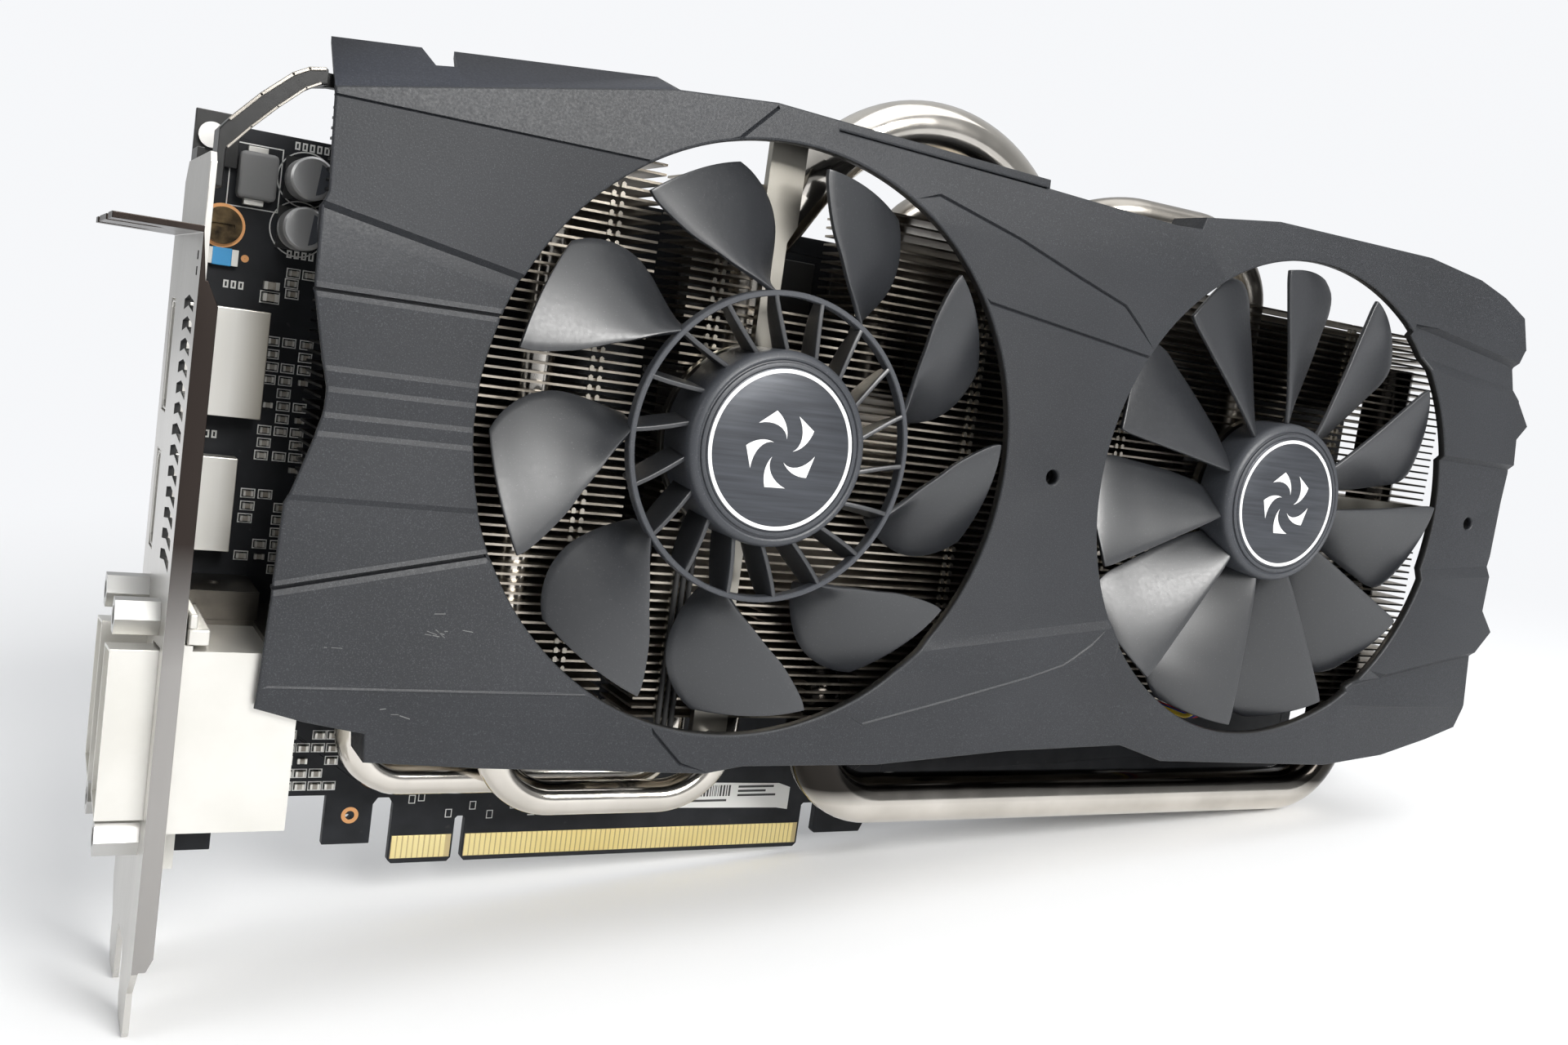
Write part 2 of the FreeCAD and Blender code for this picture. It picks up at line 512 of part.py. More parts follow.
# ---------------------------------------------------------------- back
def make_backplate():
    plate = box(3, 269, 3.2, 4.0, 15.5, 122.4)
    window = box(78, 140, 3, 5, 45, 107)
    spacers = [cyl_y(x, z, 2.6, PCB_T, 3.3) for x, z in PLATE_SCREWS]
    body = fuse([plate.cut(window)] + spacers)
    slots = [box(170 + 9 * k, 174 + 9 * k, 3, 5, 40, 98) for k in range(8)]
    return body.cut(Part.makeCompound(slots + [cyl_y(x, z, 1.3, 1, 5) for x, z in PLATE_SCREWS]))


def make_cross_plate():
    cx, cz = GPU
    ring = box(cx - 14, cx + 14, 1.6, 3.0, cz - 12, cz + 12).cut(box(cx - 8, cx + 8, 1, 4, cz - 7, cz + 7))
    arms = [ring]
    for x, z in RETENTION:
        sx, sz = (1 if x > cx else -1), (1 if z > cz else -1)
        arms.append(prism_xz([(cx + sx * 12, cz + sz * 6), (cx + sx * 8, cz + sz * 11),
                              (x - sx * 2.5, z + sz * 2.8), (x + sx * 2.8, z + sz * 2.8),
                              (x + sx * 2.8, z - sz * 2.5)], 1.6, 3.0))
    return fuse(arms).cut(Part.makeCompound([cyl_y(x, z, 1.5, 1, 4) for x, z in RETENTION]))


def headed_screws(places, head_r, y_head, head_h, shank_r, y_end, cross):
    out = []
    for x, z in places:
        head = cyl_y(x, z, head_r, y_head, y_head + head_h)
        slots = fuse([box(x - cross, x + cross, y_head + head_h * 0.5, y_head + head_h + 1, z - 0.3, z + 0.3),
                      box(x - 0.3, x + 0.3, y_head + head_h * 0.5, y_head + head_h + 1, z - cross, z + cross)])
        out.append(fuse([head, cyl_y(x, z, shank_r, y_end, y_head + 0.1)]).cut(slots))
    return out


# ---------------------------------------------------------------- build
save("pcb", make_pcb())
save("edge_contacts", make_contacts())
save("io_bracket", make_bracket())
save("bracket_brace", make_brace())
save("corner_ear", make_corner_ear())
save("dvi_housing", make_dvi_housing())
save("dvi_shells", make_dvi_shells())
save("dvi_inserts", make_dvi_inserts())
save("jackscrews", make_jackscrews())
save("displayport_shell", shell_socket(DP, 14.2, 1.2))
save("displayport_tongue", box(2.0, 13.6, -4.4, -3.3, 80.0, 93.6))
save("hdmi_shell", shell_socket(HDMI, 11.5, 1.6))
save("hdmi_tongue", box(2.0, 10.9, -3.9, -2.9, 58.8, 69.2))
save("shroud", make_shroud())
save("shroud_screws", make_shroud_screws())

pipe_holes_left = [(33, -12, 3.1), (54.7, -18.3, 3.1)]
pipe_holes_right = [(161, -15, 5.1), (215, -16, 3.1), (263, -17, 5.1)]
save("fins_left", fin_stack(20, 71.5, 34.2, 129.8, pipe_holes_left, [], [63.4]))
save("fins_mid", fin_stack(78, 150, 34.2, 129.8, [], [
    (BASE[0] - 0.6, BASE[1] + 0.6, BASE[2] - 0.3, 0, BASE[4], BASE[5]),
    (87.6, 94.4, -15.4, 0, 30, BASE[4]), (95.6, 102.4, -21.8, 0, 30, BASE[4]),
    (113.4, 124.2, -22.4, 0, 30, BASE[4]), (91.4, 103.4, -13.4, 0, BASE[5], 110),
    (90.0, 111.4, -24, 0, 110, 135), (122.6, 129.4, -9.6, 0, BASE[5], 119), (122.6, 135, -9.6, 0, 119, 135)],
    [83.5, 140.5]))
save("fins_right", fin_stack(154, 275, 39.0, 126.4, pipe_holes_right, [
    (219, 261, -14.0, 0, 104, 128), (153, 167.2, -20.8, -9.2, 116, 128)], [178.5, 240.5]))
for name, (points, radii, r) in PIPES.items():
    save(name, pipe(points, radii, r))
save("base_block", make_base())
save("gpu_package", fuse([box(GPU[0] - 18.5, GPU[0] + 18.5, -1.2, 0, GPU[1] - 18.5, GPU[1] + 18.5),
                          box(GPU[0] - 9.5, GPU[0] + 9.5, -2.0, -1.2, GPU[1] - 9.5, GPU[1] + 9.5)]))
chips = [(x, z) for x in (64, 144) for z in (50, 68, 86, 104)] + [(x, 112) for x in (92, 108, 124)]
save("memory_chips", [box(x - 6, x + 6, -1.1, 0, z - 7, z + 7) for x, z in chips])
save("chokes", [box(200, 210, -6.8, 0, 40 + 12 * k, 50 + 12 * k) for k in range(6)] +
     [box(7.8, 13.6, -3.2, 0, 112.8, 120.2)])
save("mosfets", [box(184, 189, -1.2, 0, 30 + 7 * k, 36 + 7 * k) for k in range(11)])
save("vrm_sink", make_vrm_sink())
save("can_capacitors", [cyl_y(x, z, 3.5, -7.0, 0) for x, z in
                        [(18.4, 117.4), (18.0, 109.4)] + [(222, 36 + 9 * k) for k in range(7)]])
save("small_parts", [box(x, x + dx, -h, 0, z, z + dz) for x, z, dx, dz, h in
                     [(6.2, 101.8, 3.2, 2.4, 2.0), (13.4, 98.2, 2.6, 3.2, 1.6), (17.6, 99.4, 1.4, 2.6, 1.0)] +
                     [(16.0 + 2.6 * i, 52.0 + 3.4 * j, 1.4, 0.8, 0.6) for i in range(3) for j in range(13)] +
                     [(24.4 + 2.2 * i, 14.4 + 2.4 * j, 1.3, 0.8, 0.6) for i in range(4) for j in range(4)]])
save("sticker", prism_xz([(96, 9.2), (123.6, 8.6), (126.3, 8.2), (126.3, 12.9), (123.6, 13.8), (96, 14.4)],
                         -0.12, 0))
for name, (x0, ways) in SOCKETS.items():
    housing, pins = make_socket(x0, ways)
    save(name, housing)
    save(name.replace("socket", "pins"), pins)
save("backplate", make_backplate())
save("backplate_screws", headed_screws(PLATE_SCREWS, 2.5, 4.0, 1.1, 1.15, 0.2, 1.3))
save("cross_plate", make_cross_plate())
save("cross_plate_screws", headed_screws(RETENTION, 2.8, 3.0, 1.8, 1.25, -9.0, 1.6))
save("board_screws", [cyl_y(6.4, 108.1, 2.9, -1.4, 0).fuse(cyl_y(6.4, 108.1, 1.6, -0.1, 2.4)).cut(
    box(4.6, 8.2, -2, -0.7, 107.8, 108.4)),
    cyl_y(3.4, 121.6, 2.0, -2.3, -1.3).fuse(cyl_y(3.4, 121.6, 1.2, -1.4, 1.4)).removeSplitter()])
save("left_fan_impeller", make_left_impeller())
save("right_fan_impeller", make_right_impeller())
motor("left", LEFT, LEFT_HUB)
motor("right", RIGHT, RIGHT_HUB)
save("left_fan_frame", make_left_frame())
save("right_fan_frame", make_right_frame())
save("fan_leads", make_leads())
save("fan_headers", make_headers())
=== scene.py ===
"""Looks of a two-fan graphics card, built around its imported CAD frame. Lengths are in mm and
turned into metres when a mesh is made. x runs from the slot bracket to the tail; fans face -y."""
import math
import random

import bmesh
import bpy
from mathutils import Matrix, Vector, geometry


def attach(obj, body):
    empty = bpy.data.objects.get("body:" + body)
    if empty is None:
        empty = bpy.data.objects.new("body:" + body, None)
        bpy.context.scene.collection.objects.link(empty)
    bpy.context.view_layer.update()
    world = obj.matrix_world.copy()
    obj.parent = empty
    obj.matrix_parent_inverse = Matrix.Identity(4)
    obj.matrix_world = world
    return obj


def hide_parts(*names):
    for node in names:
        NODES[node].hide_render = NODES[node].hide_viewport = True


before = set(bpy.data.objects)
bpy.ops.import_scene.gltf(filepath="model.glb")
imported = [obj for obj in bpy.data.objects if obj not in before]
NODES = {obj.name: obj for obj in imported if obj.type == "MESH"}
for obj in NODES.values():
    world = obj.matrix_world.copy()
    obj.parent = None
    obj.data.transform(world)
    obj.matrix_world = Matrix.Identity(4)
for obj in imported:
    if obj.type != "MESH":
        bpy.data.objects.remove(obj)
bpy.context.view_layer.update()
MM = 0.001

# driving dimensions
FRONT = -35.0                                  # shroud front face
WALL_BACK = -24.5                              # back edge of the shroud's side walls
LEFT_OPENING = (91.1, 84.7)
LEFT = (92.3, 84.7)                            # fan axes
RIGHT = (215.6, 85.1)
OPEN_R = 50.4
SCREW_HOLES = ((152.9, 85.1), (278.3, 85.1))
SCREW_HOLE_R = 1.9
SHOULDER_TOP, SHOULDER_LOW = 127.3, 41.4       # the front leans back beyond these heights
RIGHT_LEADS_X, LEAD_PITCH = 212.6, 1.3         # first of the right fan's three wires
FIN_FRONT, FIN_PITCH = -23.0, 1.6


# -------------------- camera, light and floor
def make_camera():
    data = bpy.data.cameras.new("camera")
    data.lens = 32.906
    data.sensor_width = 36.0
    camera = bpy.data.objects.new("camera", data)
    right = (0.870897, -0.470564, 0.141802)
    down = (0.072452, -0.162449, -0.984053)
    forward = (0.486095, 0.867283, -0.107384)
    place = (-0.02327, -0.24842, 0.09867)
    camera.matrix_world = Matrix([[right[i], -down[i], -forward[i], place[i]] for i in range(3)]
                                 + [[0, 0, 0, 1]])
    bpy.context.scene.collection.objects.link(camera)
    bpy.context.scene.camera = camera


def area_light(name, place, target, size, watts, colour):
    data = bpy.data.lights.new(name, "AREA")
    data.shape = "RECTANGLE"
    data.size, data.size_y = size
    data.energy = watts
    data.color = colour
    light = bpy.data.objects.new(name, data)
    light.location = place
    light.rotation_euler = (Vector(target) - Vector(place)).to_track_quat("-Z", "Y").to_euler()
    bpy.context.scene.collection.objects.link(light)


def add(tree, kind):
    return tree.nodes.new("ShaderNode" + kind)


def map_range(tree, source, low, high, start=0.0, end=1.0, smooth=False):
    """Output of a Map Range node fed by a socket."""
    node = add(tree, "MapRange")
    if smooth:
        node.interpolation_type = "SMOOTHSTEP"
    limits = {"From Min": low, "From Max": high, "To Min": start, "To Max": end}
    for socket, value in limits.items():
        node.inputs[socket].default_value = value
    tree.links.new(source, node.inputs["Value"])
    return node.outputs["Result"]


BACKDROP = (0.925, 0.935, 0.955)
ROOM = (0.97, 0.985, 1.0)
ROOM_FRONT, ROOM_BACK, ROOM_TOP = 0.24, 0.5, 0.2      # brightness of the room around the set


def make_studio():
    """A plain backdrop for the camera, a soft brighter room for reflections, and three lamps."""
    world = bpy.data.worlds.new("studio")
    world.use_nodes = True
    tree = world.node_tree
    seen = tree.nodes["Background"]
    seen.inputs["Color"].default_value = (*BACKDROP, 1)
    room = add(tree, "Background")
    room.inputs["Color"].default_value = (*ROOM, 1)
    direction = add(tree, "TexCoord")
    split = add(tree, "SeparateXYZ")
    tree.links.new(direction.outputs["Generated"], split.inputs["Vector"])
    total = add(tree, "Math")
    across = map_range(tree, split.outputs["Y"], -0.5, 0.5, ROOM_FRONT, ROOM_BACK)
    upward = map_range(tree, split.outputs["Z"], 0.0, 1.0, 0.0, ROOM_TOP)
    tree.links.new(across, total.inputs[0])
    tree.links.new(upward, total.inputs[1])
    tree.links.new(total.outputs["Value"], room.inputs["Strength"])
    path = add(tree, "LightPath")
    pick = add(tree, "MixShader")
    tree.links.new(path.outputs["Is Camera Ray"], pick.inputs["Fac"])
    tree.links.new(room.outputs["Background"], pick.inputs[1])
    tree.links.new(seen.outputs["Background"], pick.inputs[2])
    tree.links.new(pick.outputs["Shader"], tree.nodes["World Output"].inputs["Surface"])
    bpy.context.scene.world = world
    bpy.context.scene.view_settings.view_transform = "Standard"
    centre = (0.14, 0.0, 0.07)
    area_light("key", (0.29, -1.06, 0.63), centre, (0.65, 0.42), 17.0, (1.0, 0.99, 0.97))
    area_light("overhead", (0.4, -0.3, 1.35), centre, (1.1, 1.1), 5.7, (1.0, 1.0, 1.0))
    area_light("side", (-1.1, -0.15, 0.5), centre, (0.5, 0.7), 2.4, (1.0, 0.99, 0.97))


FLOOR_NORMAL = (-0.0966, 0.0, 0.9953)          # the card stands on its bracket tip and tail
FLOOR_TIP = (0.00045, 0.0, -0.01372)
LIT_R, GLOW_R = 0.17, 0.52                     # the floor's paper fades out between these


def make_floor():
    """Disc under the card, lit near it and fading into the backdrop further out."""
    normal = Vector(FLOOR_NORMAL).normalized()
    centre = Vector((0.14, 0.0, 0.0))
    tip = Vector(FLOOR_TIP)
    centre.z = tip.z - normal.x * (centre.x - tip.x) / normal.z
    turn = normal.to_track_quat("Z", "Y").to_matrix()
    rings, sectors = [0.0, 0.2, 0.45, 0.8, 1.4, 3.0], 64
    verts = [centre]
    for r in rings[1:]:
        for k in range(sectors):
            a = 2 * math.pi * k / sectors
            verts.append(centre + turn @ Vector((r * math.cos(a), r * math.sin(a), 0)))
    faces = [(0, 1 + k, 1 + (k + 1) % sectors) for k in range(sectors)]
    for ring in range(len(rings) - 2):
        a, b = 1 + ring * sectors, 1 + (ring + 1) * sectors
        faces += [(a + k, b + k, b + (k + 1) % sectors, a + (k + 1) % sectors)
                  for k in range(sectors)]
    mesh = bpy.data.meshes.new("floor")
    mesh.from_pydata(verts, [], faces)
    floor = bpy.data.objects.new("floor", mesh)
    bpy.context.scene.collection.objects.link(floor)
    mat = bpy.data.materials.new("floor")
    mat.use_nodes = True
    tree = mat.node_tree
    tree.nodes.clear()
    coord = add(tree, "TexCoord")
    away = add(tree, "VectorMath")
    away.operation = "DISTANCE"
    away.inputs[1].default_value = centre
    paper = add(tree, "BsdfDiffuse")
    paper.inputs["Color"].default_value = (0.9, 0.905, 0.915, 1)
    glow = add(tree, "Emission")
    glow.inputs["Color"].default_value = (*BACKDROP, 1)
    mix = add(tree, "MixShader")
    out = add(tree, "OutputMaterial")
    tree.links.new(coord.outputs["Object"], away.inputs[0])
    fade = map_range(tree, away.outputs["Value"], LIT_R, GLOW_R, smooth=True)
    tree.links.new(fade, mix.inputs["Fac"])
    tree.links.new(paper.outputs["BSDF"], mix.inputs[1])
    tree.links.new(glow.outputs["Emission"], mix.inputs[2])
    tree.links.new(mix.outputs["Shader"], out.inputs["Surface"])
    mesh.materials.append(mat)


# -------------------- materials
def tinted(tree, factor, colour, tint):
    """A colour socket with a tint mixed over it."""
    node = add(tree, "Mix")
    node.data_type = "RGBA"
    node.inputs["B"].default_value = (*tint, 1)
    tree.links.new(factor, node.inputs["Factor"])
    tree.links.new(colour, node.inputs["A"])
    return node.outputs["Result"]


def surface(name, tones, rough, metallic=0.0, specular=0.5, broad=30.0, fine=900.0, bump=0.1,
            depth=2e-5, stretch=(1, 1, 1), flecks=None, fade=None):
    """Principled material: tones vary with broad noise, roughness and bump with fine noise.
    flecks is (scale, threshold, colour) for small scattered bright grains, and fade is (axis, from,
    to, colour) for painted shade that grows between two places (mm) along an axis."""
    mat = bpy.data.materials.new(name)
    mat.use_nodes = True
    tree = mat.node_tree
    bsdf = tree.nodes["Principled BSDF"]
    bsdf.inputs["Metallic"].default_value = metallic
    bsdf.inputs["Specular IOR Level"].default_value = specular
    coord = add(tree, "TexCoord")
    mapping = add(tree, "Mapping")
    mapping.inputs["Scale"].default_value = stretch
    tree.links.new(coord.outputs["Object"], mapping.inputs["Vector"])

    def noise(scale, detail):
        node = add(tree, "TexNoise")
        node.inputs["Scale"].default_value = scale
        node.inputs["Detail"].default_value = detail
        tree.links.new(mapping.outputs["Vector"], node.inputs["Vector"])
        return node

    wide = noise(broad, 4.0)
    ramp = add(tree, "ValToRGB")
    for stop, position, tone in zip(ramp.color_ramp.elements, (0.3, 0.7), tones):
        stop.position = position
        stop.color = (*tone, 1)
    tree.links.new(wide.outputs["Fac"], ramp.inputs["Fac"])
    colour = ramp.outputs["Color"]
    grain = noise(fine, 2.0)
    if flecks:
        scale, threshold, tint = flecks
        spots = map_range(tree, noise(scale, 1.0).outputs["Fac"], threshold, threshold + 0.12)
        colour = tinted(tree, spots, colour, tint)
    # painted shade: the tint grows along the axis between the two places
    if fade:
        axis, start, end, tint = fade
        place = add(tree, "SeparateXYZ")
        tree.links.new(coord.outputs["Object"], place.inputs["Vector"])
        reach = map_range(tree, place.outputs[axis], start * MM, end * MM)
        colour = tinted(tree, reach, colour, tint)
    tree.links.new(colour, bsdf.inputs["Base Color"])
    spread = map_range(tree, grain.outputs["Fac"], 0.25, 0.75, *rough)
    tree.links.new(spread, bsdf.inputs["Roughness"])
    if bump:
        relief = add(tree, "Bump")
        relief.inputs["Strength"].default_value = bump
        relief.inputs["Distance"].default_value = depth
        tree.links.new(grain.outputs["Fac"], relief.inputs["Height"])
        tree.links.new(relief.outputs["Normal"], bsdf.inputs["Normal"])
    return mat


def grey(value, tint=(1.0, 1.0, 1.0)):
    return tuple(value * t for t in tint)


COOL = (0.92, 1.0, 1.17)
# painted reflection: bluish tint for the shroud's long bevel at the top left
PAINTED_SKY_TINT = (0.66, 0.84, 1.45)
NICKEL = ((0.62, 0.585, 0.53), (0.76, 0.72, 0.66))
TIN = ((0.68, 0.665, 0.62), (0.76, 0.745, 0.705))
SMOOTH = {"fine": 160, "bump": 0}              # polished or printed, with no grain to feel
METAL = {"metallic": 1.0, **SMOOTH}
ROLLED = {"stretch": (1, 1, 0.15), "broad": 60}     # sheet with its tones drawn out upwards
M = {
    # the front, the fans and their labels
    "shroud": surface("shroud_powder_coat", (grey(0.017, COOL), grey(0.024, COOL)), (0.42, 0.58),
                      fine=2600, specular=0.4, bump=0.6, depth=4e-5,
                      flecks=(5200.0, 0.57, (0.045, 0.047, 0.053))),
    # painted reflection and shade: a darker, bluish copy of the coat for the long bevel at the top
    # left
    "bevel": surface("shroud_bevel_painted_reflection", (grey(0.012, PAINTED_SKY_TINT), grey(0.017, PAINTED_SKY_TINT)), (0.42, 0.55), fine=2600,
                     bump=0.5, depth=4e-5, flecks=(5200.0, 0.57, (0.035, 0.04, 0.055))),
    "scuff": surface("scuffed_coat", (grey(0.1), grey(0.2)), (0.5, 0.6), bump=0),
    "fan": surface("fan_plastic", (grey(0.016, COOL), grey(0.022, COOL)), (0.35, 0.43), fine=1500,
                   bump=0.15, specular=0.85, broad=18, flecks=(4000.0, 0.66, (0.055, 0.056, 0.06))),
    "hub": surface("hub_plastic", (grey(0.04, COOL), grey(0.05, COOL)), (0.38, 0.5), fine=2200,
                   bump=0.3, flecks=(4000.0, 0.64, (0.09, 0.09, 0.1))),
    "label": surface("label_brushed", (grey(0.04, COOL), grey(0.065, COOL)), (0.35, 0.5),
                     metallic=0.4, stretch=(1, 1, 26), broad=60, fine=260, bump=0.25),
    "white_ink": surface("white_ink", (grey(0.8), grey(0.9)), (0.4, 0.5)),
    # the cooler
    "pipe": surface("nickel_plate", NICKEL, (0.1, 0.2), broad=90, **METAL),
    # painted shade: heat pipe c darkens from 16.2 mm up and is near-black above 19.4 mm, where its
    # top lies under the shroud's lower edge
    "pipe_painted_top_shade": surface("nickel_painted_top_shade", NICKEL, (0.1, 0.2), broad=90,
                        fade=("Z", 16.2, 19.4, (0.03, 0.027, 0.024)), **METAL),
    # painted shade: a darker nickel for heat pipe e, whose loop above the shroud's top edge lies in
    # shade
    "pipe_dark": surface("nickel_shaded", ((0.3, 0.28, 0.25), (0.4, 0.375, 0.34)), (0.28, 0.34),
                         broad=90, **METAL),
    "fin_tab": surface("fin_tab_nickel", ((0.4, 0.37, 0.31), (0.7, 0.66, 0.58)), (0.28, 0.36),
                       metallic=0.9, **SMOOTH),
    # painted shade: the fins turn near-black towards their left ends, from x 29 mm to 20 mm, in the
    # unlit gap beside the shroud's edge
    "fin": surface("fin_nickel_painted_shade", ((0.34, 0.3, 0.25), (0.6, 0.55, 0.47)), (0.28, 0.38), metallic=1.0,
                   broad=120, fine=1500, bump=0, fade=("X", 29, 20, (0.01, 0.01, 0.01))),
    "base": surface("base_nickel", ((0.5, 0.48, 0.44), (0.64, 0.6, 0.55)), (0.28, 0.35),
                    **METAL),
    # the bracket and its connectors
    "bracket": surface("bracket_nickel", ((0.6, 0.585, 0.555), (0.7, 0.685, 0.655)), (0.27, 0.35),
                       metallic=1.0, fine=1100, bump=0, **ROLLED),
    # painted shade: darker bracket metal for its front flange and tab underside, darker still
    # towards the top, and near-black vent walls
    "flange": surface("bracket_shaded", ((0.3, 0.29, 0.28), (0.4, 0.385, 0.37)), (0.28, 0.35),
                      fade=("Z", 44, 62, (0.045, 0.036, 0.032)), **METAL, **ROLLED),
    "vent": surface("vent_wall", (grey(0.03), grey(0.06)), (0.4, 0.55), metallic=0.5, bump=0),
    "shell": surface("connector_tin", TIN, (0.28, 0.35), metallic=0.65, broad=70, **SMOOTH),
    # painted shade: the DisplayPort and HDMI shells grow darker and warmer from x 9 mm to 15 mm,
    # towards their shaded far ends
    "shell_far": surface("connector_tin_painted_shade", TIN, (0.28, 0.35), metallic=0.65,
                         fade=("X", 9, 15, (0.34, 0.31, 0.25)), **SMOOTH),
    # painted shade: a dark tin for the stacked connector's shaded stepped top
    "shelf": surface("connector_shelf_painted_shade", ((0.045, 0.041, 0.036), (0.1, 0.092, 0.08)), (0.28, 0.36),
                     metallic=0.9, broad=160, **SMOOTH),
    "insert": surface("connector_insert", ((0.72, 0.71, 0.67), (0.8, 0.79, 0.75)), (0.45, 0.6),
                      **SMOOTH),
    "black_plastic": surface("black_plastic", (grey(0.012), grey(0.02)), (0.35, 0.5)),
    "brace": surface("black_steel", (grey(0.012), grey(0.02)), (0.28, 0.34), metallic=0.3,
                     broad=80, bump=0),
    # the board and what is soldered or stuck to it
    "pcb": surface("board_mask", (grey(0.012, COOL), grey(0.02, COOL)), (0.42, 0.52), fine=500,
                   bump=0, broad=200, specular=0.2, flecks=(700.0, 0.7, (0.03, 0.031, 0.034))),
    "gold_edge": surface("gold_edge", ((0.5, 0.4, 0.19), (0.62, 0.5, 0.27)), (0.3, 0.42),
                         metallic=0.8),
    "gold": surface("gold_plate", ((0.93, 0.75, 0.3), (0.98, 0.85, 0.44)), (0.28, 0.34),
                    metallic=1.0),
    "chip": surface("chip_epoxy", (grey(0.014), grey(0.022)), (0.4, 0.55), fine=1500),
    "choke": surface("choke_grey", (grey(0.16), grey(0.21)), (0.45, 0.6), fine=1300, bump=0.4),
    "can": surface("capacitor_can", (grey(0.5), grey(0.58)), (0.34, 0.42), metallic=0.6, **SMOOTH),
    "can_ink": surface("capacitor_ink", (grey(0.07, COOL), grey(0.1, COOL)), (0.4, 0.5), **SMOOTH),
    "ceramic": surface("ceramic_parts", ((0.2, 0.17, 0.13), (0.42, 0.4, 0.36)), (0.35, 0.5),
                       broad=600),
    "sticker": surface("sticker_paper", ((0.74, 0.74, 0.72), (0.82, 0.82, 0.8)), (0.5, 0.65)),
    "ink": surface("sticker_ink", (grey(0.02), grey(0.05)), (0.5, 0.6)),
    "silk": surface("silkscreen", ((0.62, 0.62, 0.6), (0.74, 0.74, 0.72)), (0.5, 0.6), **SMOOTH),
    "copper": surface("copper_ring", ((0.55, 0.25, 0.1), (0.75, 0.4, 0.18)), (0.28, 0.38),
                      metallic=1.0),
    "blue": surface("blue_ceramic", ((0.02, 0.22, 0.5), (0.05, 0.36, 0.7)), (0.3, 0.4)),
    # screws, motors, plates and leads
    "screw": surface("screw_steel", ((0.52, 0.52, 0.51), (0.6, 0.59, 0.57)), (0.28, 0.33),
                     **METAL),
    "screw_dark": surface("screw_bronzed", ((0.02, 0.016, 0.012), (0.12, 0.085, 0.045)),
                          (0.28, 0.35), broad=500, **METAL),
    "magnet": surface("magnet_ferrite", (grey(0.03), grey(0.05)), (0.5, 0.6)),
    "bronze": surface("bearing_bronze", ((0.42, 0.26, 0.12), (0.56, 0.36, 0.18)), (0.3, 0.42),
                      metallic=1.0),
    "stator": surface("stator_steel", ((0.3, 0.24, 0.18), (0.5, 0.34, 0.22)), (0.3, 0.45),
                      metallic=0.8),
    "steel": surface("plate_steel", ((0.3, 0.285, 0.25), (0.4, 0.38, 0.34)), (0.28, 0.38),
                     **METAL),
    "wire": surface("wire_rubber", (grey(0.02), grey(0.04)), (0.4, 0.55)),
    "wire_yellow": surface("wire_yellow", ((0.6, 0.42, 0.02), (0.7, 0.5, 0.04)), (0.4, 0.5)),
    "wire_red": surface("wire_red", ((0.45, 0.01, 0.01), (0.6, 0.02, 0.02)), (0.4, 0.5)),
    "wire_blue": surface("wire_blue", ((0.01, 0.04, 0.3), (0.02, 0.07, 0.45)), (0.4, 0.5)),
}

# the CAD nodes that stay as packed, by material
LOOK_NODES = {
    "pcb": "pcb", "gold": "edge_contacts power_pins_8 power_pins_6", "bracket": "io_bracket",
    "brace": "bracket_brace corner_ear shroud_screws backplate", "shell": "dvi_housing dvi_shells",
    "insert": "dvi_inserts fan_headers",
    "screw": "jackscrews backplate_screws cross_plate_screws board_screws left_fan_shaft "
             "right_fan_shaft",
    "shell_far": "displayport_shell hdmi_shell",
    "black_plastic": "displayport_tongue hdmi_tongue vrm_sink power_socket_8 power_socket_6",
    "fin": "fins_left fins_mid fins_right", "pipe": "heatpipe_a heatpipe_b heatpipe_d",
    "pipe_painted_top_shade": "heatpipe_c", "pipe_dark": "heatpipe_e", "base": "base_block",
    "chip": "gpu_package memory_chips mosfets", "choke": "chokes", "can": "can_capacitors",
    "ceramic": "small_parts", "sticker": "sticker",
    "steel": "cross_plate left_fan_frame right_fan_frame",
    "magnet": "left_fan_magnet right_fan_magnet", "bronze": "left_fan_bearing right_fan_bearing",
    "stator": "left_fan_stator right_fan_stator", "wire": "fan_leads",
}
# nodes with a small rounding along their edges, by its width
SOFT_NODES = {
    0.08: "dvi_shells small_parts", 0.1: "dvi_inserts jackscrews mosfets corner_ear",
    0.12: "io_bracket pcb", 0.15: "displayport_shell hdmi_shell memory_chips vrm_sink",
    0.2: "gpu_package cross_plate fan_headers", 0.25: "bracket_brace power_socket_8 power_socket_6",
    0.4: "base_block", 0.5: "dvi_housing", 0.6: "chokes",
}


def recolour(node, look, test):
    """Another material for the faces of a CAD node whose centre (mm) passes a test."""
    mesh = NODES[node].data
    mesh.materials.append(M[look])
    index = len(mesh.materials) - 1
    for polygon in mesh.polygons:
        if test(*(c / MM for c in polygon.center)):
            polygon.material_index = index


def soften(obj, width):
    """Rounded edges by modifiers. The imported normals go, because they crumple on a bevel."""
    if "custom_normal" in obj.data.attributes:
        obj.data.attributes.remove(obj.data.attributes["custom_normal"])
    weld = obj.modifiers.new("weld", "WELD")
    weld.merge_threshold = 2e-6
    edge = obj.modifiers.new("edge", "BEVEL")
    edge.width = width * MM
    edge.segments = 2
    edge.limit_method = "ANGLE"
    edge.angle_limit = math.radians(40)
    edge.harden_normals = True
    obj.data.shade_smooth()


